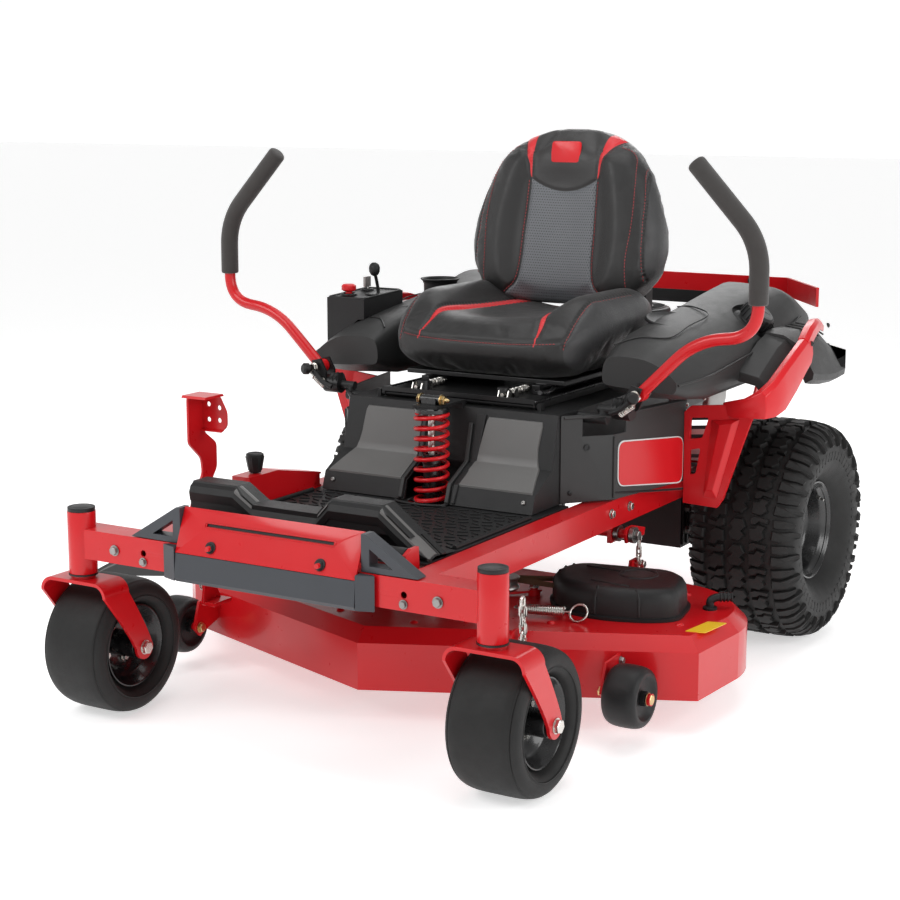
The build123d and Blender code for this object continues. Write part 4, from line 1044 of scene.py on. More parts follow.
# plain red patch on the head panel
patch_loop = rounded_loop([(-38, 300), (38, 300), (38, 350), (-38, 350)], 8, 4)
patch_face = on_cover(backrest, back_line([(0, 324), (0, 326)]), toward)[0][0]
patch_out = (patch_face - at(*back_point(0, 325, 0))).dot(BACK_OUT) / MM
patch = lofted([[tuple(back_point(a * k, 325 + (u - 325) * k, patch_out + o)) for a, u in patch_loop]
                for k, o in ((1.0, 2.5), (1.0, -0.6), (0.94, -1.8))])
piece("seat_back_patch", patch, RED_TRIM, "seat", bevel=0.4)

down = Vector((0, 0, -1))


def seat_line(pairs, z=900):
    return [at(a, y, z) for a, y in pairs]


seams = {}
for hand in (1, -1):
    seams[f"insert_in{hand}"] = seat_line([(hand * (line - w) * 1000, FRONT_Y + b * 1000) for (b, line),
                                           (_, w) in zip(INSERT_LINE[1:], INSERT_WIDTH[1:])])
    seams[f"insert_out{hand}"] = seat_line([(hand * (line + w) * 1000, FRONT_Y + b * 1000) for (b, line),
                                            (_, w) in zip(INSERT_LINE[1:], INSERT_WIDTH[1:])])
    seams[f"flank{hand}"] = seat_line([(hand * h * 1000, FRONT_Y + b * 1000) for b, h in FLANK_LINE[1:-1]])
lines = {k: on_cover(cushion, v, down) for k, v in seams.items()}
front_seam = on_cover(cushion, [at(a, -900, 722 + 6 * (abs(a) / 190) ** 2) for a in
                                (-196, -150, -100, -50, 0, 50, 100, 150, 196)], Vector((0, 1, 0)))
lines["front"] = front_seam
sew(cushion, [[p for p, n in r] for r in lines.values()], 4.0, 5.5)
lines = {k: on_cover(cushion, v, down) for k, v in seams.items()}
lines["front"] = on_cover(cushion, [at(a, -900, 717 + 6 * (abs(a) / 190) ** 2) for a in
                                    (-190, -150, -100, -50, 0, 50, 100, 150, 190)], Vector((0, 1, 0)))
stitches("seat_base_stitching", [lines["flank1"], lines["flank-1"], lines["front"]], THREAD, "seat")
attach(cushion, "seat")
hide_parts("seat_cushion")


# ---------------------------------------------------------------- steering levers
GRIP_LOW, GRIP_TOP = (656.5, 836.0), (512.0, 1117.0)
LEVER_Y = -570.0
for side, word in SIDES:
    corners = [(402, 636), (525, 757), (657, 772), (656, 960), (516, 1111)]
    tube = rounded_path([(side * a, LEVER_Y, b) for a, b in corners], 62, 12)
    eye_end = turned([(-13, 6.5), (-13, 15), (13, 15), (13, 6.5)], (side * 402, LEVER_Y, 636), (0, 1, 0),
                     28, closed=True)
    piece(f"lap_bar_{word}_tube", joined(swept(tube, 12.6, 20), eye_end), RED, f"lever_{word}",
          replaces=[f"lap_bar_{word}"])
    grip = rounded_path([(side * a, LEVER_Y, b) for a, b in (GRIP_LOW, (656, 960), GRIP_TOP)], 58, 18)
    length = [0.0]
    for p, q in zip(grip, grip[1:]):
        length.append(length[-1] + (q - p).length)
    ends = [grip[0].lerp(grip[1], t / max((grip[1] - grip[0]).length, 1)) for t in (0, 1.5, 4)]
    tops = [grip[-1].lerp(grip[-2], t / (grip[-1] - grip[-2]).length) for t in (8, 4, 1.5, 0)]
    route = ends + grip[1:-1] + tops
    sizes = [17.0, 19.2, 20.0] + [20.0] * (len(grip) - 2) + [20.0, 18.8, 15.5, 9.0]
    piece(f"lap_bar_{word}_grip", swept(route, sizes, 28), FOAM, f"lever_{word}")
    # clamp bolts of the lever in its arm, an adjuster bolt and a lever damper link
    hard = [hexagon((side * 402, -597, 636), (0, -1, 0), 17, 8, 11), hexagon((side * 402, -543, 636),
                                                                             (0, 1, 0), 17, 8, 11)]
    hard.append(turned([(-596, 0), (-596, 6), (-544, 6), (-544, 0)], (side * 402, 0, 636), (0, 1, 0), 14))
    hard.append(hexagon((side * 379, -598, 606), (0, -1, 0), 13, 6, 9))
    hard.append(turned([(0, 0), (0, 4), (34, 4), (36, 2.5), (36, 0)], (side * 394, -600, 612),
                       (side * 0.7, -0.2, 0.7), 12))
    hard.append(swept(helix((side * 372, -600, 596), (side * 0.8, 0, 0.6), 6.5, 34, 9), 1.3, 6))
    piece(f"control_arm_{word}_bolts", joined(*hard), ZINC, f"control_{word}")
    knob = turned([(0, 0), (0, 9), (4, 13), (14, 13), (18, 9), (18, 0)], (side * 404, -612, 634),
                  (side * 0.5, -0.9, 0.1), 24)
    boot = turned([(0, 11), (3, 19), (9, 15), (13, 19), (19, 15), (23, 18), (28, 13), (30, 10)],
                  (side * 344, -570, 606), (side, 0, 0), 28)
    link = swept(rounded_path([(side * 350, -604, 596), (side * 372, -606, 604), (side * 398, -606, 628)],
                              14), 5.5, 10)
    piece(f"control_arm_{word}_boot", joined(knob, boot, link), BLACK_PLASTIC, f"control_{word}")

# ---------------------------------------------------------------- shock absorber
SHOCK_Y = -742.0
coil = helix((0, SHOCK_Y, 402.0), (0, 0, 1), 34.0, 182.0, 9.4, 28)
spring = piece("shock_spring_coil", swept(coil, 4.6, 12), RED_TRIM, "chassis",
               replaces=["shock_spring"])
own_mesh(spring)
lower = turned([(375, 0), (375, 15), (379, 19), (386, 19), (386.5, 37), (396, 37), (397.5, 34), (398, 21),
                (404, 21.5), (404, 19), (470, 19), (478, 18.5), (480, 20.5), (497, 20.5), (500, 18),
                (500, 13), (420, 13), (420, 0)], (0, SHOCK_Y, 0), (0, 0, 1), 56)
ringed = [turned([(z, 19.5), (z + 1, 21.5), (z + 4, 21.5), (z + 5, 19.5)], (0, SHOCK_Y, 0), (0, 0, 1), 48)
          for z in (412, 426, 440)]
piece("shock_body", joined(lower, *ringed), BLACK_PAINT, "chassis",
      replaces=["shock_cylinder"])
upper = turned([(458, 0), (458, 7.6), (586, 7.6), (586, 0)], (0, SHOCK_Y, 0), (0, 0, 1), 28)
piece("shock_piston", upper, ZINC, "platform")
cap = turned([(586, 8), (588, 30), (589.5, 37), (597, 37), (600, 34), (601, 12), (606, 11), (606, 8)],
             (0, SHOCK_Y, 0), (0, 0, 1), 48, closed=True)
bolt_end = joined(turned([(-24, 0), (-24, 9.5), (24, 9.5), (24, 0)], (0, SHOCK_Y, 616), ACROSS, 24),
                  box((-17, 17), (SHOCK_Y - 14, SHOCK_Y + 10), (603, 620)))
piece("shock_top_seat", joined(cap, bolt_end), BLACK_PAINT, "platform", bevel=0.5,
      replaces=["shock_rod"])
pins = [hexagon((s * 24, SHOCK_Y, 616), (s, 0, 0), 17, 8, 12) for s in (1, -1)]
pins.append(turned([(30, 0), (30, 5), (40, 4.4), (44, 2), (44, 0)], (0, SHOCK_Y, 616), ACROSS, 14))
piece("shock_top_nuts", joined(*pins), BRASS, "platform")

# ---------------------------------------------------------------- seat shroud
SHROUD = [(-775, 402), (-762, 440), (-690, 480), (-662, 592)]


def on_shroud(x, share_point, lift):
    """A point on the shroud's front: share_point is (y, z) on its section, lifted outwards."""
    y, z = share_point
    if z < 440:
        way = Vector((38, 13)).normalized()
    elif z < 480:
        way = Vector((40, 72)).normalized()
    else:
        way = Vector((112, 28)).normalized()
    return (x, y - way.x * lift, z + way.y * lift)


def shroud_y(z):
    for (y0, z0), (y1, z1) in zip(SHROUD, SHROUD[1:]):
        if z <= z1:
            return y0 + (y1 - y0) * (z - z0) / (z1 - z0)
    return SHROUD[-1][0]


def shroud_panel(rows, lift):
    """A raised panel from rows of (z, inner x, outer x), with a sloping rim."""
    columns = 8
    grid, edge = [], []
    for z, inner, outer in rows:
        y = shroud_y(z)
        grid.append([on_shroud(inner + (outer - inner) * k / columns, (y, z), lift)
                     for k in range(columns + 1)])
    points = [p for row in grid for p in row]
    wide = columns + 1
    faces = [(r * wide + k, r * wide + k + 1, (r + 1) * wide + k + 1, (r + 1) * wide + k)
             for r in range(len(grid) - 1) for k in range(columns)]
    border = ([(0, k) for k in range(columns + 1)] + [(r, columns) for r in range(1, len(rows))]
              + [(len(rows) - 1, k) for k in range(columns - 1, -1, -1)] + [(r, 0)
                                                                            for r in range(len(rows) - 2, 0,
                                                                                           -1)])
    mid_x = sum(a + b for _, a, b in rows) / (2 * len(rows))
    base = len(points)
    for r, k in border:
        p = Vector(grid[r][k])
        grow = 1.6 if r not in (0, len(rows) - 1) or k in (0, columns) else 0.0
        z = rows[r][0] + (2.2 if r == len(rows) - 1 else -2.2 if r == 0 else 0)
        x = p.x + (grow if p.x > mid_x else -grow)
        points.append(on_shroud(x, (shroud_y(z), z), -1.0))
    count = len(border)
    for i in range(count):
        j = (i + 1) % count
        a, b = border[i], border[j]
        faces.append((a[0] * wide + a[1], b[0] * wide + b[1], base + j, base + i))
    return points, faces


right_rows = [(442, 72, 252), (452, 74, 246), (466, 76, 238), (478, 78, 232), (484, 79, 228),
              (500, 82, 224), (520, 86, 222), (545, 90, 224), (566, 94, 226), (574, 98, 224)]
left_rows = [(442, -66, -250), (452, -66, -244), (466, -66, -236), (478, -66, -228), (484, -66, -224),
             (500, -66, -218), (520, -66, -214), (545, -66, -212), (566, -66, -210), (574, -70, -206)]
# the raised plates on the shroud's front facets carry painted sheen: light grey where the black moulding
# catches the key light
piece("shroud_sheen_panel_left", shroud_panel(right_rows, 4.0), PAINTED_SHEEN_GREY, "platform", bevel=1.2)
piece("shroud_sheen_panel_right", shroud_panel(left_rows, 4.0), PAINTED_SHEEN_GREY, "platform", bevel=1.2)
# ribs and the moulded rim round the shock recess
for x0, x1, z1 in ((-62, -53, 560), (53, 62, 560)):
    rib = [on_shroud(x, (shroud_y(z), z), lift) for z in (404, 440, 480, 540, z1) for x, lift in
           ((x0, -2), (x0, 7), (x1, 7), (x1, -2))]
    shape = lofted([rib[i:i + 4] for i in range(0, len(rib), 4)])
    piece(f"shroud_rib_{'left' if x0 > 0 else 'right'}", shape, GREY_PLASTIC, "platform",
          bevel=2.0)
lip = [(-60, -770, 403), (-58, -794, 403), (-38, -806, 403), (0, -811, 403), (38, -806, 403),
       (58, -794, 403), (60, -770, 403)]
piece("shroud_recess_lip", swept(spline(lip, 5), 3.2, 10), BLACK_PLASTIC, "platform")
side_rib = [on_shroud(x, (shroud_y(z), z), lift) for z in (404, 440, 480, 530, 580) for x, lift in
            ((66, -2), (68, 5), (75 + (z - 404) * 0.09, 5), (77 + (z - 404) * 0.09, -2))]
piece("shroud_fluting", lofted([side_rib[i:i + 4] for i in range(0, len(side_rib), 4)]), BLACK_PLASTIC,
      "platform", bevel=1.5)
studs = [screw((s * 236, on_shroud(0, (shroud_y(424), 424), 1)[1], 424), (0, -0.95, 0.3), 5, 3)
         for s in (1, -1)]
piece("shroud_screws", joined(*studs), STEEL, "platform")

# ---------------------------------------------------------------- floor pan: tread and foot rest
TOP = [(-280, 493), (-173, 493), (-125, 462), (25, 462), (54, 493), (167, 493), (280, 408)]


def rest_top(x):
    for (a, one), (b, two) in zip(TOP, TOP[1:]):
        if x <= b:
            return one + (two - one) * (x - a) / (b - a)
    return TOP[-1][1]


stations = [-280, -278, -240, -205, -177, -173, -169, -149, -129, -125, -121, -75, -25, 21, 25, 29, 50, 54,
            58, 110, 163, 167, 171, 204, 240, 276, 280]
rings = []
for x in stations:
    h = rest_top(x)
    deep = min(38.0, h - 404.0)
    section = [(-1207, h - deep), (-1210, h - deep * 0.55), (-1205, h - 9), (-1196, h - 2.5), (-1184, h),
               (-1172, h - 1.5), (-1160, h - 8), (-1146, h - 24 if h > 430 else h - 8),
               (-1128, max(h - 56, 402)), (-1104, 401.2), (-1104, 400), (-1150, 399.5),
               (-1176, max(h - deep, 399.5))]
    rings.append([(x, y, max(z, 399.4)) for y, z in section])
piece("foot_rest", lofted(rings), BLACK_PLASTIC, "platform", bevel=2.2, rings=3, sharp=24)
# light grey strips on the foot rest's sloping faces are painted sheen, where these faces catch the light
facets = []
for (x0, z0), (x1, z1) in ((TOP[1], TOP[2]), (TOP[4], TOP[3]), (TOP[5], TOP[6])):
    low_x, high_x = sorted((x0, x1))
    rows = []
    for k in range(9):
        x = low_x + 3 + (high_x - low_x - 6) * k / 8
        h = rest_top(x)
        rows.append([(x, -1208, h - 10), (x, -1206, h - 5), (x, -1184, h + 1.4), (x, -1163, h - 5),
                     (x, -1166, h - 10), (x, -1184, h - 3)])
    facets.append(lofted(rows))
piece("foot_rest_sheen_facets", joined(*facets), PAINTED_SHEEN_GREY, "platform", bevel=0.8)
lugs = []
for row in range(17):
    y = -1092 + row * 24.5
    if y > -790:
        break
    for k in range(19):
        x = -252 + 28 * k + (14 if row % 2 else 0)
        if x > 262 or (hypot(x, y + 742) < 70):
            continue
        lean = 8 if (row + k) % 2 else -8
        lugs.append(plate("z", 399.5, 402.8, [(x - 9, y - lean / 2 - 2), (x + 9, y + lean / 2 - 2.4),
                                              (x + 10.5, y + lean / 2), (x + 9, y + lean / 2 + 2.4),
                                              (x - 9, y - lean / 2 + 2), (x - 10.5, y - lean / 2)]))
piece("floor_tread", joined(*lugs), BLACK_PLASTIC, "platform", bevel=0.9, rings=2)
rails = [swept([(s * 268, -1098, 403), (s * 268, -800, 403)], 5, 10) for s in (1, -1)]
piece("floor_edge_beads", joined(*rails), BLACK_PLASTIC, "platform")

# ---------------------------------------------------------------- bumper
PLATE_LOW, PLATE_HIGH = Vector((0, -1347, 387)), Vector((0, -1313, 471))
rise = (PLATE_HIGH - PLATE_LOW).normalized()
out_way = Vector((0, -rise.z, rise.y))
buttons = []
for s in (1, -1):
    spot = PLATE_LOW + rise * ((404 - 387) / rise.z) + out_way * 1.0 + Vector((s * 126, 0, 0))
    buttons.append(screw(tuple(spot), tuple(out_way), 8.5, 5))
    buttons.append(turned([(0, 0), (0, 12), (1.4, 11.6), (1.4, 0)], tuple(spot), tuple(out_way), 24))
piece("bumper_screws", joined(*buttons), SATIN_BLACK, "chassis")
slot_rim = []
for z0, z1 in ((438.0, 448.0),):
    loop = rounded_loop([(-150, z0), (150, z0), (150, z1), (-150, z1)], 4.8, 5)
    outer = [tuple(PLATE_LOW + rise * ((z - 387) / rise.z) + out_way * 0.5 + Vector((x, 0, 0))) for x,
             z in loop]
    slot_rim.append(swept(outer, 1.1, 8, closed=True))
piece("bumper_slot_rim", joined(*slot_rim), RED, "chassis")
back_sheet = lofted([[tuple(PLATE_LOW + rise * ((z - 387) / rise.z) - out_way * o + Vector((x, 0, 0)))
                      for x, z in rounded_loop([(-160, 428), (160, 428), (160, 458), (-160, 458)], 6)]
                     for o in (3.2, 4.6)])
piece("bumper_backing", back_sheet, BLACK_PLASTIC, "chassis")
# hardware on the front beam and head tubes
nuts = []
for s in (1, -1):
    nuts.append(hexagon((s * 372, -1331, 366), (0, -1, 0), 15, 6, 11))
    nuts.append(hexagon((s * 300, -1331, 352), (0, -1, 0), 12, 5, 9))
piece("front_beam_bolts", joined(*nuts), STEEL, "chassis", bevel=0.3)
caps = []
for s in (1, -1):
    caps.append(turned([(0, 26), (0.5, 27.6), (3.5, 27.6), (6, 24), (7.2, 14), (7.6, 0)],
                       (s * 473, -1311, 433.5), (0, 0, 1), 40))
    caps.append(turned([(0, 29.6), (3.4, 29.6), (3.4, 26), (0, 26)], (s * 473, -1311, 301.5), (0, 0, 1), 40,
                       closed=True))
piece("head_tube_caps", joined(*caps), SATIN_BLACK, "chassis")


# ---------------------------------------------------------------- side panels and trims
def panel_point(y, z, lift, side=LEFT):
    """A point off the side panel's rear facet, by its y."""
    share = (y + 560) / 259
    x = 340 + 49 * share
    return (side * (x + lift * 0.9826), y - lift * 0.186, z)


def facet_plate(outline, low, high, side):
    """A plate lying on the side panel's rear facet, from an outline in (y, z)."""
    return lofted([[panel_point(y, z, lift, side) for y, z in outline] for lift in (low, high)])


PLATE_EDGE = [(-549, 529), (-549, 430), (-312, 400), (-312, 507)]
for side, word in SIDES:
    edge = rounded_loop(PLATE_EDGE, 22, 6)
    middle = (sum(y for y, z in edge) / len(edge), sum(z for y, z in edge) / len(edge))
    inner = [(middle[0] + (y - middle[0]) * 0.978, middle[1] + (z - middle[1]) * 0.945) for y, z in edge]
    piece(f"badge_edge_{word}", facet_plate(edge, -0.5, 2.2, side), WHITE, "chassis",
          bevel=0.6)
    piece(f"badge_plate_{word}", facet_plate(inner, 0.5, 3.2, side), RED_TRIM, "chassis",
          bevel=0.8)
    groove = [panel_point(y, z, 0.3, side) for y, z in ((-560, 418), (-420, 400), (-302, 386))]
    piece(f"panel_groove_{word}", swept(groove, 2.4, 8), SATIN_BLACK, "chassis")
    brim = [panel_point(y, z, 0.5, side) for y, z in ((-560, 585), (-430, 585), (-304, 585))]
    front = [(side * 266, -648, 585), (side * 338, -561, 585)]
    seat_rim = swept(front + brim[1:], 3.6, 12)
    hole = turned([(0, 0), (0, 7), (2.4, 7), (2.4, 4.6), (1.0, 4.2), (1.0, 0)], (side * 300, -609, 520),
                  (side * 0.77, -0.63, 0), 24)
    fixings = [screw((side * 276, -638, z), (side * 0.77, -0.63, 0), 5.5, 3) for z in (425,)]
    piece(f"panel_rim_{word}", seat_rim, GREY_PLASTIC, "chassis")
    piece(f"panel_plug_{word}", joined(hole, *fixings), SATIN_BLACK, "chassis")
    # vertical ridge between the two facets
    ridge = swept([(side * 340.5, -560.5, 408), (side * 340.5, -560.5, 540)], 3.0, 10)
    piece(f"panel_ridge_{word}", ridge, GREY_PLASTIC, "chassis")

    # red side trim: a folded skin with louvres, rising to the long arm over the wheel
    face = [(389, 355), (388, 560), (404, 575), (545, 590), (560, 578), (545, 552), (520, 480), (484, 372),
            (470, 352)]
    outline = [(side * a, b) for a, b in face]
    slots = [[(side * a, b) for a, b in rounded_loop(loop, 5)] for loop in ([(402, 500), (404, 548),
                                                                             (446, 552), (432, 506)],
                                                                            [(404, 420), (403, 476),
                                                                             (428, 482), (418, 424)])]
    piece(f"side_trim_{word}_face", plate("y", -309, -301, outline, slots), RED_TRIM, "chassis",
          bevel=1.5, replaces=["side_trims"])
    fold = [(side * 452, 548), (side * 520, 556), (side * 470, 372), (side * 436, 372)]
    raised = lofted([[(x, -309, z) for x, z in fold], [(side * 476, -321, 540), (side * 506, -321, 546),
                                                       (side * 464, -321, 392), (side * 448, -321, 392)]])
    piece(f"side_trim_{word}_fold", raised, RED_TRIM, "chassis", bevel=2.0)
    grille = [plate("y", -300, -296, [(side * 395, z), (side * 452, z + 6), (side * 452, z + 14),
                                      (side * 395, z + 8)]) for z in (416, 436, 456, 500, 520, 540)]
    piece(f"side_trim_{word}_louvre", joined(*grille), SATIN_BLACK, "chassis", bevel=1.0)
    arm = []
    for x, y, low, high in ((500, -313, 556, 590), (552, -322, 560, 604), (578, -314, 560, 620),
                            (592, -286, 562, 640), (597, -240, 572, 666), (599, -180, 606, 692),
                            (600, -128, 640, 714), (600, -96, 658, 716)):
        arm.append([(side * x, y, low), (side * (x + 4), y - 3, (low + high) / 2 - 8),
                    (side * (x + 1), y - 2, high - 9), (side * (x - 9), y, high), (side * (x - 24), y + 8,
                                                                                   high - 2),
                    (side * (x - 24), y + 10, low + 6)])
    piece(f"side_trim_{word}_arm", lofted(arm), RED_TRIM, "chassis", bevel=2.0, sharp=30)
    upper = []
    for x, y, low, high in ((600, -124, 664, 716), (596, -84, 700, 736), (588, -30, 716, 748),
                            (570, 40, 716, 742), (556, 96, 704, 726)):
        upper.append([(side * x, y, low), (side * (x + 1), y, high - 8), (side * (x - 8), y, high),
                      (side * (x - 26), y + 5, high - 3), (side * (x - 26), y + 5, low + 6)])
    piece(f"side_trim_{word}_upper", lofted(upper), RED_TRIM, "chassis", bevel=1.8, sharp=30)
    bolts = [screw((side * 600.5, -104, 702), (side, 0, 0.1), 6, 4), screw((side * 572, 78, 722),
                                                                           (side, 0, 0.4), 6, 4)]
    piece(f"side_trim_{word}_screws", joined(*bolts), SATIN_BLACK, "chassis")

# ---------------------------------------------------------------- pods: one moulded skin on each side
POD = {-512: [(286, 640), (284, 668), (292, 698), (330, 704), (392, 699), (436, 676), (461, 652),
              (453, 630), (370, 634)], -470: [(280, 622), (277, 668), (286, 718), (330, 724), (395, 713),
                                              (446, 684), (478, 654), (470, 616), (370, 612)],
       -400: [(276, 608), (275, 680), (285, 738), (330, 742), (398, 729), (452, 700), (489, 660),
              (488, 608), (375, 606)], -300: [(275, 606), (274, 690), (284, 750), (325, 755), (398, 744),
                                              (456, 712), (490, 670), (490, 610), (375, 605)],
       -180: [(275, 606), (274, 696), (284, 764), (322, 770), (396, 758), (460, 722), (491, 682),
              (491, 612), (375, 605)], -60: [(275, 606), (274, 700), (284, 780), (322, 785), (392, 776),
                                             (462, 728), (491, 690), (491, 614), (375, 606)],
       40: [(275, 620), (274, 712), (284, 794), (326, 798), (404, 789), (464, 754), (490, 712), (490, 626),
            (375, 620)], 120: [(275, 634), (274, 722), (284, 804), (330, 806), (418, 800), (466, 774),
                               (489, 732), (489, 640), (375, 634)], 165: [(277, 646), (276, 722),
                                                                          (285, 796), (330, 799),
                                                                          (418, 792), (464, 764),
                                                                          (487, 730), (487, 650),
                                                                          (375, 644)],
       205: [(286, 668), (284, 720), (288, 772), (330, 776), (416, 770), (456, 748), (480, 728), (479, 672),
             (375, 666)],}
cap_spot = Vector((439.0, -60.0, 733.0))
cap_way = Vector((sin(radians(41)), 0, cos(radians(41))))
for side, word in SIDES:
    rows = []
    for y, corners in POD.items():
        ring = rounded_loop(corners, 26, 3)
        rows.append([(side * a, y, b) for a, b in ring])
    shell = lofted(rows)
    whole = {"left": "fuel_tank", "right": "storage_pod"}[word]
    made = piece(f"{whole}_shell", shell, GREY_PLASTIC, "chassis", sharp=32, bevel=0,
                 replaces=[whole])
    if side == RIGHT:
        cutter_shape = turned([(710, 0), (710, 38), (714, 41), (830, 42), (830, 0)], (-385, -70, 0),
                              (0, 0, 1), 48)
    else:
        cutter_shape = turned([(0, 0), (0, 54), (30, 60), (30, 0)], tuple(cap_spot - cap_way * 6),
                              tuple(cap_way), 48)
    mesh = bpy.data.meshes.new("cutter")
    mesh.from_pydata([at(*p) for p in cutter_shape[0]], [], cutter_shape[1])
    work = bmesh.new()
    work.from_mesh(mesh)
    bmesh.ops.recalc_face_normals(work, faces=work.faces)
    work.to_mesh(mesh)
    work.free()
    cutter = bpy.data.objects.new("cutter", mesh)
    bpy.context.scene.collection.objects.link(cutter)
    carve = made.modifiers.new("carve", "BOOLEAN")
    carve.operation, carve.object, carve.solver = "DIFFERENCE", cutter, "EXACT"
    bpy.context.view_layer.objects.active = made
    bpy.ops.object.select_all(action="DESELECT")
    made.select_set(True)
    bpy.ops.object.modifier_apply(modifier="carve")
    bpy.data.objects.remove(cutter)
    for face in made.data.polygons:
        face.use_smooth = True
    made.data.set_sharp_from_angle(angle=radians(32))
    # lid seam, recess dish near the seat and the edge lines of the moulding
    seam = [(side * a, y, b) for a, y, b in ((292, -470, 721), (330, -430, 734), (386, -392, 733.5),
                                             (389, -300, 749), (388, -190, 763.5), (330, -150, 774),
                                             (290, -140, 770))]
    piece(f"{whole}_seam", swept(spline(seam, 6), 1.6, 8), SATIN_BLACK, "chassis")
    dish = turned([(-3, 0), (-2.6, 30), (-1, 46), (2.2, 54), (3.4, 57), (1.0, 60), (-3, 60.5)],
                  (side * 332, -262, 754), (side * 0.16, -0.10, 1), 48)
    piece(f"{whole}_dish", dish, BLACK_PLASTIC, "chassis")
    line = [(side * a, y, b) for a, y, b in ((461, -508, 650), (478, -470, 655), (489.5, -400, 661),
                                             (491, -300, 671), (491.5, -180, 683), (491.5, -60, 691),
                                             (490.5, 40, 713), (489.5, 120, 733))]
    piece(f"{whole}_edge_line", swept(spline(line, 5), 2.6, 10), GREY_PLASTIC, "chassis")

# filler neck and screw cap with grip ribs
base = cap_spot - cap_way * 8
neck = turned([(0, 0), (0, 46), (3, 48), (9, 42), (12, 36), (17, 35), (17, 0)], tuple(base), tuple(cap_way),
              48)
piece("fuel_neck", neck, BLACK_PLASTIC, "chassis")
cap_base = cap_spot + cap_way * 8.6
body = turned([(0, 0), (0, 36), (1.5, 38), (22, 38), (27, 36.5), (30, 33), (31, 30), (30.4, 29), (30.4, 0)],
              tuple(cap_base), tuple(cap_way), 60)
_, cap_one, cap_two = axes(cap_way)
ribs = []
for k in range(18):
    turn = 2 * pi * k / 18
    outer = cap_one * cos(turn) + cap_two * sin(turn)
    along = cap_way.cross(outer)
    corners = []
    for height, deep in ((1, 40.6), (21, 40.6), (27, 37.8)):
        for across, radius in ((-3.2, 35), (-2.2, deep), (2.2, deep), (3.2, 35)):
            corners.append([tuple(cap_base + cap_way * height + outer * radius + along * across)])
    rows = [[c[0] for c in corners[i:i + 4]] for i in (0, 4, 8)]
    ribs.append(lofted(rows))
face_disc = turned([(30.2, 29.6), (31.6, 29.2), (32.2, 26), (32.0, 3), (31.8, 0)], tuple(cap_base),
                   tuple(cap_way), 48)
grip_bar = [tuple(cap_base + cap_way * 32 + cap_one * t) for t in (-20, -10, 0, 10, 20)]
piece("fuel_cap_body", joined(body, *ribs), BLACK_PLASTIC, "fuel_cap", bevel=0.5,
      replaces=["fuel_cap"])
piece("fuel_cap_face", joined(face_disc, swept(grip_bar, [1.0, 2.4, 2.6, 2.4, 1.0], 10),
                              turned([(31.4, 21), (32.8, 21.6), (32.8, 24.4), (31.4, 25)], tuple(cap_base),
                                     tuple(cap_way), 48, closed=True)), CAP_GREY, "fuel_cap")
# cup holder lining
lining = turned([(708, 0), (708, 36), (711, 39.4), (782, 41), (790, 45), (793, 49), (795.5, 49),
                 (796, 46.5), (794, 43), (786, 40), (714, 37), (711, 0)], (-385, -70, 0), (0, 0, 1), 48)
piece("cup_holder_lining", lining, BLACK_PLASTIC, "chassis")

# ---------------------------------------------------------------- fenders
for side, word in SIDES:
    rows = []
    for y, top_in, knee, tip_low in ((-92, 720, 688, 622), (-60, 724, 690, 616), (0, 722, 684, 608),
                                     (70, 716, 672, 604), (130, 706, 656, 606), (178, 690, 640, 622),
                                     (196, 672, 640, 640)):
        pull = max(0, y - 120) * 0.35
        rows.append([(side * 487, y, top_in), (side * (530 - pull), y, top_in - 5), (side * (566 - pull), y,
                                                                                     knee + 8),
                     (side * (596 - pull), y, knee - 40), (side * (604 - pull), y, tip_low + 12),
                     (side * (602 - pull), y, tip_low - 2), (side * (584 - pull), y, tip_low - 12),
                     (side * (578 - pull), y, tip_low), (side * (562 - pull), y, tip_low + 24),
                     (side * (520 - pull), y, 668), (side * 487, y, 672)])
    piece(f"rear_fender_{word}_outer", lofted(rows), GREY_PLASTIC, "chassis", bevel=1.5,
          sharp=28, replaces=["rear_fenders"])
    inner_rows = []
    for y, low, high in ((-250, 592, 650), (-200, 596, 676), (-140, 616, 704), (-94, 640, 716)):
        inner_rows.append([(side * 487, y, high), (side * 536, y, high - 10), (side * 562, y, high - 34),
                           (side * 570, y, low + 8), (side * 562, y, low), (side * 548, y, low + 6),
                           (side * 528, y, high - 30), (side * 487, y, high - 22)])
    piece(f"rear_fender_{word}_inner", lofted(inner_rows), GREY_PLASTIC, "chassis",
          bevel=1.5, sharp=28)
    ribs = [swept([(side * 492, y, 722.5), (side * 526, y, 718), (side * 560, y, 699)], 2.2, 8)
            for y in (20, 52, 84)]
    piece(f"rear_fender_{word}_ribs", joined(*ribs), GREY_PLASTIC, "chassis")

# ---------------------------------------------------------------- console controls
rim = rounded_loop([(-484, -418), (-384, -418), (-384, -252), (-484, -252)], 12, 4)
edge_line = [(x, y, 775.5 + (y + 420) * 7 / 170) for x, y in rim]
piece("console_rim", swept(edge_line, 2.8, 10, closed=True), BLACK_PLASTIC, "chassis")
plate_loop = rounded_loop([(-420, -362), (-392, -362), (-392, -282), (-420, -282)], 6)
dial = lofted([[(x, y, 779 + o) for x, y in plate_loop] for o in (0, 1.8)])
bezel = [turned([(0, 0), (0, r), (3, r - 1), (4, r - 4), (1.5, r - 6), (1.5, 0)],
                (x, y, 777 + (y + 420) * 7 / 170), (0, 0, 1), 32) for x, y, r in ((-452, -378, 20),
                                                                                  (-458, -290, 16))]
piece("console_bezels", joined(*bezel), BLACK_PLASTIC, "chassis")
piece("console_gate", dial, SATIN_BLACK, "chassis", bevel=0.5)
pto = turned([(752, 0), (752, 7.8), (786, 7.8), (788, 14), (790, 16), (796, 17.5), (801, 17), (804, 13),
              (805, 0)], (-452, -378, 0), (0, 0, 1), 36)
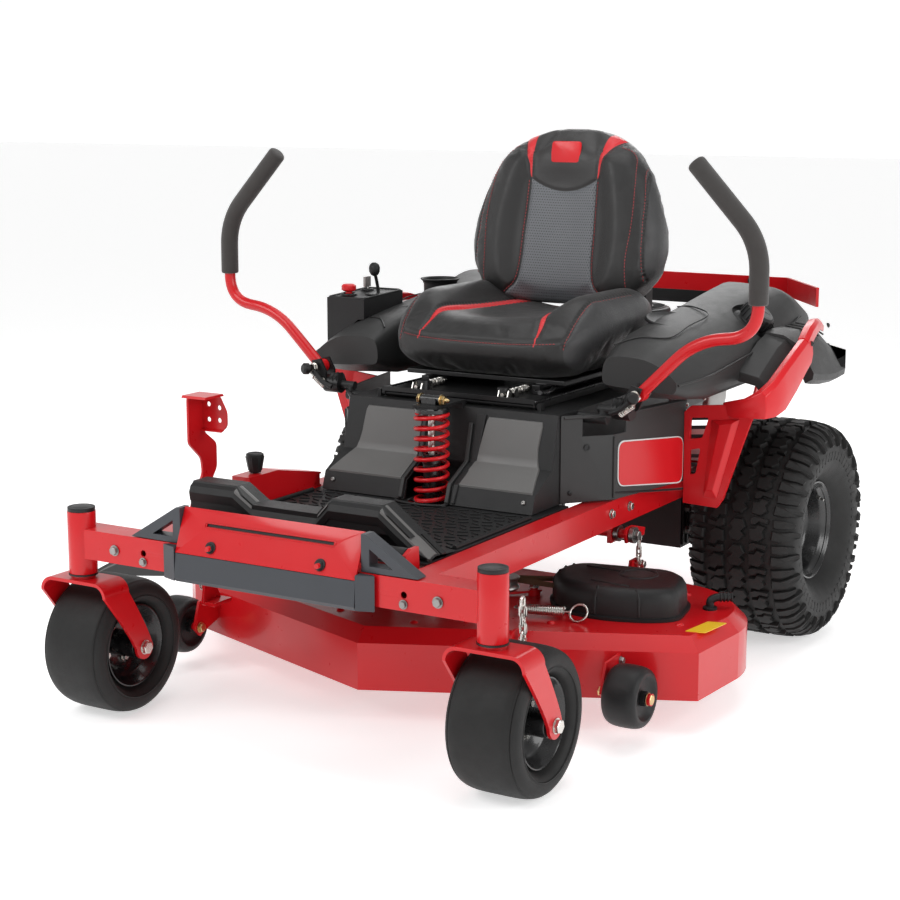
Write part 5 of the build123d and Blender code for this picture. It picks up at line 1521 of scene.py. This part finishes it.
pto_ribs = [box((-452 + 16 * cos(a) - 1.2, -452 + 16 * cos(a) + 1.2), (-378 + 16 * sin(a) - 1.2,
                                                                       -378 + 16 * sin(a) + 1.2),
                (790, 800)) for a in [2 * pi * k / 12 for k in range(12)]]
piece("pto_knob_turned", joined(pto, *pto_ribs), RED_TRIM, "pto_knob", bevel=0.4,
      replaces=["pto_knob"])
handle = [(-406, -322, 772), (-406, -322, 790), (-405, -330, 812), (-404, -338, 828)]
knob = lofted([[(-404 + a * s, -340 + b * s * 0.9, z) for a, b in disc_loop((0, 0), 1, 16)]
               for z, s in ((822, 3), (825, 9), (832, 13), (842, 14), (850, 11), (854, 5))])
piece("throttle_handle", joined(swept(spline(handle, 5), 4.0, 10), knob,
                                turned([(-4.6, 0), (-4.6, 20), (4.6, 20), (4.6, 0)], (-406, -322, 756),
                                       ACROSS, 28)), BLACK_PLASTIC, "throttle",
      replaces=["throttle_lever"])

# ---------------------------------------------------------------- seat plate, springs and brackets
bead = swept(rounded_path([(-189, -134, 610), (-189, -636, 610), (189, -636, 610), (189, -134, 610)], 16),
             3.6, 10)
piece("seat_plate_rolled_edge", bead, BLACK_PAINT, "seat_tilt")
for s, word in SIDES:
    x = s * 108
    bracket = [plate("x", x + t, x + t + 3, [(-632, 610), (-624, 628), (-612, 628), (-606, 618),
                                             (-596, 628), (-584, 628), (-578, 610)]) for t in (-13, 10)]
    web = box((x - 13, x + 13), (-612, -600), (611, 621))
    coil = swept(helix((x, -596, 619), (0, 1, 0), 7.0, 74, 13, 14), 1.6, 8)
    rod = turned([(-632, 0), (-632, 4), (-506, 4), (-506, 0)], (x, 0, 619), (0, 1, 0), 14)
    piece(f"seat_adjuster_{word}_bracket", joined(*bracket, web), ZINC, "seat_tilt", bevel=0.7)
    piece(f"seat_adjuster_{word}_spring", joined(coil, rod), ZINC, "seat_tilt")
slots = [swept([(x - 14, -624, 611), (x + 14, -624, 611)], 2.0, 8) for x in (0,)]
piece("seat_plate_slot", joined(*slots), STEEL, "seat_tilt")
track = []
for x in (-150, 150):
    track.append(box((x - 14, x + 14), (-545, -180), (610.5, 618)))
    track.append(swept([(x - 12, -545, 618), (x - 12, -180, 618)], 3.2, 8))
    track.append(swept([(x + 12, -545, 618), (x + 12, -180, 618)], 3.2, 8))
piece("seat_tracks", joined(*track), SATIN_BLACK, "seat_tilt", bevel=0.8)
latch = swept(rounded_path([(164, -500, 622), (182, -548, 622), (196, -596, 626), (196, -626, 630)], 18), 5,
              12)
piece("seat_slide_handle", latch, BLACK_PAINT, "seat")

# ---------------------------------------------------------------- deck height controls
stem = [(-1120, 350), (-1104, 352), (-1080, 425), (-1052, 462), (-1034, 486), (-1034, 538), (-1073, 566),
        (-1073, 646), (-1124, 646), (-1124, 548), (-1084, 512), (-1080, 480), (-1116, 430), (-1136, 369),
        (-1133, 354)]
stem_shape = plate("x", -350, -345, rounded_loop(stem, 9, 3))
hub = turned([(-356, 8), (-356, 20), (-339, 20), (-339, 8)], (0, -1120, 369), ACROSS, 32, closed=True)
pad_loop = rounded_loop([(-349, 574), (-292, 574), (-284, 584), (-284, 612), (-302, 645), (-349, 645)], 7)
holes = [disc_loop((x, z), 5.2, 16) for x, z in ((-330, 626), (-330, 594), (-303, 620), (-303, 594))]
pad = plate("y", -1077, -1073.5, pad_loop, holes)
top_lip = lofted([[(x, -1137, 645), (x, -1134, 650), (x, -1078, 650), (x, -1074, 645)] for x in (-352, -322,
                                                                                                 -292)])
low_lip = lofted([[(x, -1077, 573), (x, -1086, 570.5), (x, -1086, 573), (x, -1074, 576)]
                  for x in (-346, -320, -292)])
piece("lift_pedal_welded", joined(stem_shape, hub, pad, top_lip, low_lip), RED, "lift_pedal",
      bevel=1.2, replaces=["lift_pedal"])
knob = turned([(441, 0), (441, 6), (464, 6), (464, 12.6), (468, 13.6), (498, 19.2), (503, 18.6), (505, 15),
               (503.4, 13), (503.4, 0)], (-310, -950, 0), (0, 0, 1), 40)
flutes = []
for k in range(10):
    turn = 2 * pi * k / 10
    flutes.append(swept([(-310 + r * cos(turn), -950 + r * sin(turn), z) for r, z in ((12.8, 468),
                                                                                      (18.4, 498))], 1.9,
                        8))
piece("height_knob_turned", joined(knob, *flutes), BLACK_PLASTIC, "height_knob",
      replaces=["height_knob"])


# ---------------------------------------------------------------- belt covers
COVER = [(236, -640), (256, -560), (468, -520), (520, -560), (545, -680), (500, -720), (406, -750),
         (300, -735)]


def inset(outline, amount, centre):
    out = []
    for x, y in outline:
        way = Vector((x - centre[0], y - centre[1]))
        out.append((x - way.x / way.length * amount, y - way.y / way.length * amount))
    return out


for side, word in SIDES:
    ring = rounded_loop(COVER, 46, 6)
    middle = (390, -635)
    skirt = [(0, 196.5), (-7, 196.5), (-7, 202), (0, 204), (1, 232), (3, 246), (9, 256), (18, 261),
             (26, 262.3)]
    shell = lofted([[(side * x, y, z) for x, y in inset(ring, amount, middle)] for amount, z in skirt])
    piece(f"belt_cover_{word}_shell", shell, BLACK_PLASTIC, "deck", sharp=40,
          replaces=["belt_covers"])
    ribs = [turned([(0, 34), (2, 35), (3.4, 38), (2, 41), (0, 42)], (side * 424, -606, 261.5), (0, 0, 1),
                   48, closed=True)]
    for k in (2, 5, 8, 40, 46):
        x, y = inset(ring, 1, middle)[k % len(ring)]
        x2, y2 = inset(ring, 16, middle)[k % len(ring)]
        ribs.append(swept([(side * x, y, 206), (side * x, y, 240), (side * x2, y2, 260)], 3.4, 10))
    for a, b in ((300, -600), (360, -700)):
        ribs.append(swept([(side * a, b, 262), (side * (a + 90), b - 6, 262)], 2.6, 8))
    piece(f"belt_cover_{word}_ribs", joined(*ribs), BLACK_PLASTIC, "deck")
    tabs = []
    for x, y in ((262, -566), (512, -604), (316, -738)):
        tabs.append(screw((side * x, y, 204), (0, 0, 1), 7, 5))
    piece(f"belt_cover_{word}_screws", joined(*tabs), ZINC, "deck")

# ---------------------------------------------------------------- belt, idler and its spring
BELT_Z, PULLEYS = 228.0, ((413, -600), (-413, -600), (0, -790))


def belt_loop(radius):
    """The tight loop round the three deck pulleys, in plan."""
    order = [PULLEYS[0], PULLEYS[1], PULLEYS[2]]
    out = []
    for i, here in enumerate(order):
        before, after = Vector(order[i - 1]), Vector(order[(i + 1) % 3])
        here = Vector(here)
        one, two = (here - before).normalized(), (after - here).normalized()
        start, end = atan2(-one.x, one.y), atan2(-two.x, two.y)
        start, end = start + pi, end + pi
        while end < start:
            end += 2 * pi
        for k in range(15):
            turn = start + (end - start) * k / 14
            out.append((here.x + radius * cos(turn), here.y + radius * sin(turn)))
    return out


BELT_TRACK = 55.0
inner_low, outer = belt_loop(BELT_TRACK), belt_loop(BELT_TRACK + 9)
size = len(outer)
belt_points = ([(x, y, BELT_Z - 3) for x, y in inner_low] + [(x, y, BELT_Z + 3) for x, y in inner_low]
               + [(x, y, BELT_Z + 6) for x, y in outer] + [(x, y, BELT_Z - 6) for x, y in outer])
belt_faces = [(band_no * size + i, band_no * size + (i + 1) % size, ((band_no + 1) % 4) * size
               + (i + 1) % size, ((band_no + 1) % 4) * size + i) for band_no in range(4)
              for i in range(size)]
piece("deck_belt", (belt_points, belt_faces), BELT, "deck", bevel=0.6,
      replaces=["belt_drive"])
arm = plate("z", 203, 208, rounded_loop([(216, -642), (206, -628), (142, -676), (140, -700), (156, -706)],
                                        10))
idler = turned([(214, 6), (214, 30), (217, 32), (220, 31), (224, 27), (232, 27), (236, 31), (239, 32),
                (241, 30), (241, 6)], (150, -690, 0), (0, 0, 1), 40)
pivot = turned([(196, 0), (196, 13), (210, 13), (210, 8), (214, 8), (214, 0)], (200, -650, 0), (0, 0, 1),
               24)
piece("idler_arm", joined(arm, pivot), RED, "deck", bevel=0.8)
piece("idler_pulley", idler, STEEL, "deck")
nuts = [hexagon((150, -690, 241), (0, 0, 1), 17, 8, 11), hexagon((200, -650, 214), (0, 0, 1), 17, 8, 11)]
coil = swept(helix((262, -812, 214), (0.96, 0.28, 0), 8.6, 82, 24, 12), 1.9, 6)
hooks = [swept(rounded_path([(262, -812, 214), (248, -816, 214), (240, -812, 214), (240, -800, 214)], 6),
               1.9, 8)]
ring = [(374 + 19 * cos(a), -783 + 12 * sin(a), 214 + 15 * sin(a)) for a in [2 * pi * k / 24
                                                                             for k in range(24)]]
hooks.append(swept(ring, 2.4, 10, closed=True))
hooks.append(swept([(340, -790, 214), (356, -786, 214)], 2.0, 8))
piece("idler_spring", joined(coil, *hooks, *nuts), ZINC, "deck")

# ---------------------------------------------------------------- deck hardware
for x, y, word in ((413, -600, "left"), (-413, -600, "right"), (0, -790, "center")):
    bolts = [hexagon((x + 50 * cos(t), y + 50 * sin(t), 202), (0, 0, 1), 13, 6, 9)
             for t in [pi / 3 * k + 0.3 for k in range(6)]]
    piece(f"spindle_{word}_bolts", joined(*bolts), ZINC, "deck", bevel=0.3)
    top = [hexagon((x, y, 250.5), (0, 0, 1), 24, 10, 15)]
    below = [hexagon((x, y, 74.5), (0, 0, -1), 27, 12, 18)]
    piece(f"spindle_{word}_nuts", joined(*top, *below), ZINC, f"spindle_{word}", bevel=0.4)
for side, word in SIDES:
    x, y = {"left": (548.0, -905.0), "right": (-520.0, -955.0)}[word]
    half = smooth_profile([(37, 46), (36, 52), (31, 57.5), (22, 60.6), (10, 61.8), (0, 62)], 5)
    body = mirror_profile([(26, 13), (26, 31), (30, 40), (35.5, 43.5)] + half)
    hub = turned([(-38, 9), (-38, 15), (38, 15), (38, 9)], (x, y, 102), ACROSS, 28, closed=True)
    piece(f"deck_roller_{word}_turned", joined(turned(body, (x, y, 102), ACROSS, 64, closed=True), hub),
          BLACK_PLASTIC, f"roller_{word}", replaces=[f"deck_roller_{word}"])
    end = [hexagon((x + side * 39.5, y, 102), (side, 0, 0), 20, 8, 13)]
    end.append(hexagon((x - side * 57, y, 102), (-side, 0, 0), 17, 7, 12))
    piece(f"deck_roller_{word}_nut", joined(*end), BRASS, "deck", bevel=0.4)
    fix = [hexagon((x - side * 49.5, y + 62, z), (side, 0, 0), 13, 6, 9) for z in (128, 150)]
    piece(f"roller_bracket_{word}_bolts", joined(*fix), STEEL, "deck", bevel=0.3)

label = [(600, -650), (638, -640), (628, -728), (588, -738)]
piece("deck_label_plate", lofted([[(x, y, z) for x, y in rounded_loop(label, 4)] for z in (195.6, 196.9)]),
      YELLOW, "deck", bevel=0.2)
elbow = [(566, -560, 196), (566, -560, 216), (578, -552, 222), (604, -534, 222)]
washout = [swept(rounded_path(elbow, 10), 8.5, 14), turned([(0, 0), (0, 15), (5, 15), (7, 11), (7, 0)],
                                                        (566, -560, 196), (0, 0, 1), 24)]
for k in range(4):
    spot = Vector((584, -548, 222)).lerp(Vector((603, -535, 222)), k / 3)
    washout.append(turned([(-1.4, 8), (-1.4, 10.6), (1.4, 10.6), (1.4, 8)], tuple(spot), (26, 18, 0), 18,
                          closed=True))
piece("washout_port", joined(*washout), BLACK_PLASTIC, "deck")

# rows of carriage bolts on the deck's top
rivets = []
for x, y in ((-330, -820), (-180, -900), (180, -900), (330, -820), (560, -700), (-560, -700), (250, -500),
             (-250, -500), (90, -960), (-90, -960), (480, -480), (-480, -480)):
    rivets.append(turned([(0, 0), (0, 9), (2, 8), (4, 5), (4.8, 0)], (x, y, 196), (0, 0, 1), 20))
piece("deck_carriage_bolts", joined(*rivets), RED, "deck")

# ---------------------------------------------------------------- lift chains and shaft
for side, word in SIDES:
    links = chain((side * 343, -435, 236), (side * 343, -435, 312), 4, 31, 14, 2.6, pi / 4)
    pins = [turned([(-6, 0), (-6, 4.6), (6, 4.6), (6, 0)], (side * 343, -435, z), ACROSS, 14)
            for z in (237, 309)]
    pins += [hexagon((side * 350, -435, 237), (side, 0, 0), 15, 7, 10)]
    piece(f"lift_chain_{word}_links", joined(links, *pins), ZINC, "deck", replaces=["lift_chains"])
    front = chain((side * 386, -1040, 222), (side * 384, -1040, 306), 5, 29, 18, 3.0, pi / 4)
    eye_bolt = turned([(0, 0), (0, 5), (14, 5), (14, 0)], (side * 378, -1040, 226), (side, 0, 0), 14)
    piece(f"front_chain_{word}_links", joined(front, eye_bolt), ZINC, "deck")
    ear_low, ear_high = sorted((side * 366, side * 372))
    ear = plate("x", ear_low, ear_high, rounded_loop([(-1000, 190), (-1066, 190), (-1058, 242),
                                                      (-1030, 246)], 8))
    foot_low, foot_high = sorted((side * 340, side * 372))
    foot = box((foot_low, foot_high), (-1060, -1000), (190, 198))
    piece(f"front_lift_ear_{word}", joined(ear, foot), RED, "deck", bevel=1.0)
    collar = [turned([(0, 11.4), (0, 18), (10, 18), (10, 11.4)], (side * a, -497, 316), (side, 0, 0), 28,
                     closed=True) for a in (318, 354)]
    piece(f"lift_shaft_{word}_collars", joined(*collar, hexagon((side * 364, -497, 316), (side, 0, 0), 20,
                                                                8, 13)), STEEL, "lift_shaft",
          bevel=0.4)
    # hanger bolts on the rail
    hang = [hexagon((side * 335.5, y, 372), (side, 0, 0), 15, 6, 11) for y in (-560, -470, -160, 40, 180)]
    piece(f"frame_bolts_{word}", joined(*hang), ZINC, "chassis", bevel=0.3)


# ---------------------------------------------------------------- engine, muffler and drives
fins = []
for side in (1, -1):
    for k in range(9):
        x = side * (66 + k * 10)
        low, high = sorted((x - 1.6, x + 1.6))
        fins.append(plate("x", low, high, rounded_loop([(160, 456), (340, 456), (340, 584), (160, 584)],
                                                       16)))
piece("cylinder_fins", joined(*fins), ALLOY, "chassis", bevel=0.6)
covers = []
for side in (1, -1):
    low, high = sorted((side * 152, side * 172))
    covers.append(lofted([[(side * x, y, z) for y, z in rounded_loop([(180 + i, 470 + i),
                                                                      (320 - i, 470 + i),
                                                                      (320 - i, 572 - i),
                                                                      (180 + i, 572 - i)], 20)] for x,
                          i in ((150, 0), (166, 0), (172, 8))]))
piece("rocker_covers", joined(*covers), SATIN_BLACK, "chassis", bevel=1.5)
bolts = [screw((side * 173, y, z), (side, 0, 0), 5, 4) for side in (1, -1) for y, z in
         ((196, 486), (304, 486), (196, 556), (304, 556))]
for x, y in ((-100, 70), (100, 70), (-100, 230), (100, 230)):
    bolts.append(hexagon((x, y, 561), (0, 0, 1), 13, 6, 9))
piece("engine_bolts", joined(*bolts), ZINC, "chassis")
shell_plan = rounded_loop([(-190, 68), (190, 68), (190, 312), (-190, 312)], 58, 8)
mid = (0, 190)
hood = lofted([[(x, y, z) for x, y in inset(shell_plan, i, mid)] for i, z in
               ((6, 590), (0, 596), (0, 664), (5, 684), (18, 697), (38, 703), (60, 705))])
piece("blower_hood", hood, BLACK_PLASTIC, "chassis", replaces=["blower_housing"])
drum = turned([(698, 0), (698, 116), (716, 115), (721, 112), (723, 106), (722, 60), (722, 0)], (0, 190, 0),
              (0, 0, 1), 72)
piece("blower_screen_ring", drum, BLACK_PLASTIC, "chassis")
slats = []
for k in range(36):
    turn = 2 * pi * k / 36
    slats.append(swept([(r * cos(turn + s), 190 + r * sin(turn + s), 723.4) for r,
                        s in ((38, 0), (68, 0.05), (100, 0.12))], 1.7, 6))
slats += [turned([(723, r - 2), (725, r - 1.5), (725, r + 1.5), (723, r + 2)], (0, 190, 0), (0, 0, 1), 60,
                 closed=True) for r in (36, 70, 102)]
slats.append(turned([(721, 34), (726, 30), (728, 18), (728, 0)], (0, 190, 0), (0, 0, 1), 40))
piece("blower_grille", joined(*slats), SATIN_BLACK, "chassis")
cleaner = [turned([(-84, 0), (-84, 40), (-78, 46), (78, 46), (84, 40), (84, 0)], (0, 92, 650), ACROSS, 40)]
piece("air_cleaner", joined(*cleaner), SATIN_BLACK, "chassis")
filter_can = turned([(0, 0), (0, 34), (4, 38), (70, 38), (76, 34), (80, 20), (80, 0)], (96, 40, 450),
                    (0.4, -1, 0), 36)
piece("oil_filter", filter_can, WHITE, "chassis")
flutes = [swept([Vector((96, 40, 450)) + Vector((0.4, -1, 0)).normalized() * t + (axes((0.4, -1, 0))[1]
                                                                                  * cos(a)
                                                                                  + axes((0.4, -1, 0))[2]
                                                                                  * sin(a)) * 37.6
                 for t in (54, 74)], 2.2, 6) for a in [2 * pi * k / 14 for k in range(14)]]
piece("oil_filter_flutes", joined(*flutes), WHITE, "chassis")
dip = swept(rounded_path([(-120, 90, 500), (-150, 60, 560), (-150, 60, 660)], 20), 7, 12)
dip_head = swept([(-150, 60, 660), (-150, 60, 690)], [12, 9], 14)
piece("dipstick", joined(dip, dip_head), SATIN_BLACK, "chassis")

can = smooth_profile([(-170, 0.5), (-169, 30), (-166, 46), (-158, 58), (-148, 61)], 4)
can += [(-148, 62.5), (-142, 62.5), (-141, 61), (141, 61), (142, 62.5), (148, 62.5)]
can += smooth_profile([(148, 61), (158, 58), (166, 46), (169, 30), (170, 0.5)], 4)
pipes = [swept(rounded_path([(x, 335, 492), (x, 372, 492), (x * 1.02, 420, 484)], 20), 17, 18)
         for x in (-120, 120)]
tail = swept(rounded_path([(138, 430, 440), (140, 462, 418), (140, 500, 400)], 16), [17] * 11, 18)
piece("muffler_can", joined(turned(can, (0, 420, 480), ACROSS, 56), *pipes, tail), STEEL, "chassis",
      replaces=["muffler"])
straps = [turned([(x - 9, 61.2), (x - 9, 63.4), (x + 9, 63.4), (x + 9, 61.2)], (0, 420, 480), ACROSS, 56,
                 closed=True) for x in (-90, 90)]
guard_rows = [swept([(x, 420 + 67 * cos(t), 480 + 67 * sin(t)) for x in (-130, 130)], 2.2, 6)
              for t in [radians(d) for d in (20, 35, 50, 65, 80, 95)]]
piece("muffler_straps", joined(*straps, *guard_rows), SATIN_BLACK, "chassis")

for side, word in SIDES:
    ribs = []
    for k in range(8):
        y = -70 + k * 24
        low, high = sorted((side * 118, side * 288))
        ribs.append(lofted([[(x, y - 2, 196), (x, y + 2, 196), (x, y + 2, 337), (x, y - 2, 337)]
                            for x in (low, high)]))
    piece(f"transaxle_{word}_fins", joined(*ribs), SATIN_BLACK, "chassis", bevel=0.8)
    fan = [turned([(351, 0), (351, 20), (358, 18), (360, 0)], (side * 200, 10, 0), (0, 0, 1), 28)]
    for k in range(10):
        turn = 2 * pi * k / 10
        fan.append(swept([(side * 200 + r * cos(turn + s), 10 + r * sin(turn + s), 354) for r, s in
                          ((16, 0), (40, 0.25), (62, 0.4))], [3, 3.6, 2], 6))
    fan.append(turned([(351, 62), (357, 63), (357, 68), (351, 69)], (side * 200, 10, 0), (0, 0, 1), 48,
                      closed=True))
    piece(f"transaxle_{word}_fan", joined(*fan), BLACK_PLASTIC, "chassis")
    seal = [turned([(0, 16), (0, 40), (6, 40), (8, 30), (8, 16)], (side * 391, 0, 254), (side, 0, 0), 40,
                   closed=True)]
    seal += [hexagon((side * 285, 52 * cos(t), 254 + 52 * sin(t)), (side, 0, 0), 15, 7, 11) for t in
             [radians(d) for d in (30, 90, 150, 210, 270, 330)]]
    piece(f"transaxle_{word}_seal", joined(*seal), STEEL, "chassis")
    guard = [hexagon((side * 200, 529.5, z), (0, -1, 0), 13, 6, 9) for z in (745, 767)]
    guard += [screw((side * 250, 537, 756), (0, 1, 0), 9, 4), screw((side * 90, 537, 756), (0, 1, 0), 9, 4)]
    piece(f"engine_guard_{word}_bolts", joined(*guard), SATIN_BLACK, "chassis")
face_panel = lofted([[(x, y, z) for x, z in rounded_loop([(-296, 700), (296, 700), (296, 734), (-296, 734)],
                                                         6)] for y in (529, 533)])
piece("engine_guard_rear_strip", face_panel, SATIN_BLACK, "chassis", bevel=1.0)
wheel = turned([(290, 14.5), (290, 60), (292, 62), (295, 61), (299, 54), (304, 54), (308, 61), (311, 62),
                (313, 60), (313, 52), (316, 50), (351, 50), (355, 47), (355, 14.5)], (0, 120, 0), (0, 0, 1),
               64, closed=True)
piece("clutch_pulley_turned", wheel, SATIN_BLACK, "clutch", replaces=["clutch_pulley"])
piece("clutch_bolt", hexagon((0, 120, 286), (0, 0, -1), 24, 11, 17), ZINC, "clutch", bevel=0.4)


# ---------------------------------------------------------------- floor, light, camera
floor_mat = surface("studio_floor", (0.90, 0.90, 0.90), 0.55, dark=0.985, spread=0.03, specular=0.1)
floor_shader = floor_mat.node_tree.nodes["Principled BSDF"]
floor_shader.inputs["Emission Color"].default_value = (1.0, 1.0, 1.0, 1.0)
floor_shader.inputs["Emission Strength"].default_value = 0.52
mesh = bpy.data.meshes.new("floor")
reach = 30.0
mesh.from_pydata([(-reach, -reach, 0), (reach, -reach, 0), (reach, reach, 0), (-reach, reach, 0)], [],
                 [(0, 1, 2, 3)])
floor = bpy.data.objects.new("floor", mesh)
mesh.materials.append(floor_mat)
bpy.context.scene.collection.objects.link(floor)

world = bpy.data.worlds.new("studio")
bpy.context.scene.world = world
world.use_nodes = True
sky = world.node_tree.nodes["Background"]
sky.inputs["Color"].default_value = (1.0, 1.0, 1.0, 1.0)
# white near the horizon, greyer overhead, so that the paint and plastics keep their contrast
sky_split = node(world.node_tree, "ShaderNodeSeparateXYZ")
world.node_tree.links.new(node(world.node_tree, "ShaderNodeTexCoord").outputs["Generated"],
                          sky_split.inputs[0])
world.node_tree.links.new(ranged(world.node_tree, sky_split.outputs[2], 0.10, 0.50, 1.02, 0.40),
                          sky.inputs["Strength"])


def softbox(name, place, aim, size, power):
    """A square soft light, pointed at a machine frame point."""
    lamp = bpy.data.lights.new(name, "AREA")
    lamp.shape = "RECTANGLE"
    lamp.size, lamp.size_y = size
    lamp.energy = power
    made = bpy.data.objects.new(name, lamp)
    bpy.context.scene.collection.objects.link(made)
    made.location = at(*place)
    made.rotation_mode = "QUATERNION"
    made.rotation_quaternion = (at(*aim) - at(*place)).to_track_quat("-Z", "Y")


softbox("key", (-1500, -3600, 2900), (0, -500, 500), (2.2, 1.6), 60.0)
softbox("overhead", (300, -400, 3600), (0, -500, 300), (3.0, 2.4), 40.0)
softbox("side", (3600, -900, 2000), (200, -500, 450), (1.8, 1.8), 42.0)
softbox("back", (-1200, 3200, 2600), (0, 0, 600), (2.4, 1.4), 36.0)

camera = bpy.data.cameras.new("camera")
camera.sensor_width = 36.0
camera.lens = 75.46
camera.clip_end = 100.0
eye = bpy.data.objects.new("camera", camera)
bpy.context.scene.collection.objects.link(eye)
AZIMUTH, ELEVATION = radians(30.86), radians(10.86)
back = Vector((sin(AZIMUTH) * cos(ELEVATION), -cos(AZIMUTH) * cos(ELEVATION), sin(ELEVATION)))
eye.location = at(2046.7, -4091.6, 1260.3)
eye.rotation_mode = "QUATERNION"
eye.rotation_quaternion = (-back).to_track_quat("-Z", "Y")
bpy.context.scene.camera = eye
bpy.context.scene.view_settings.view_transform = "Standard"
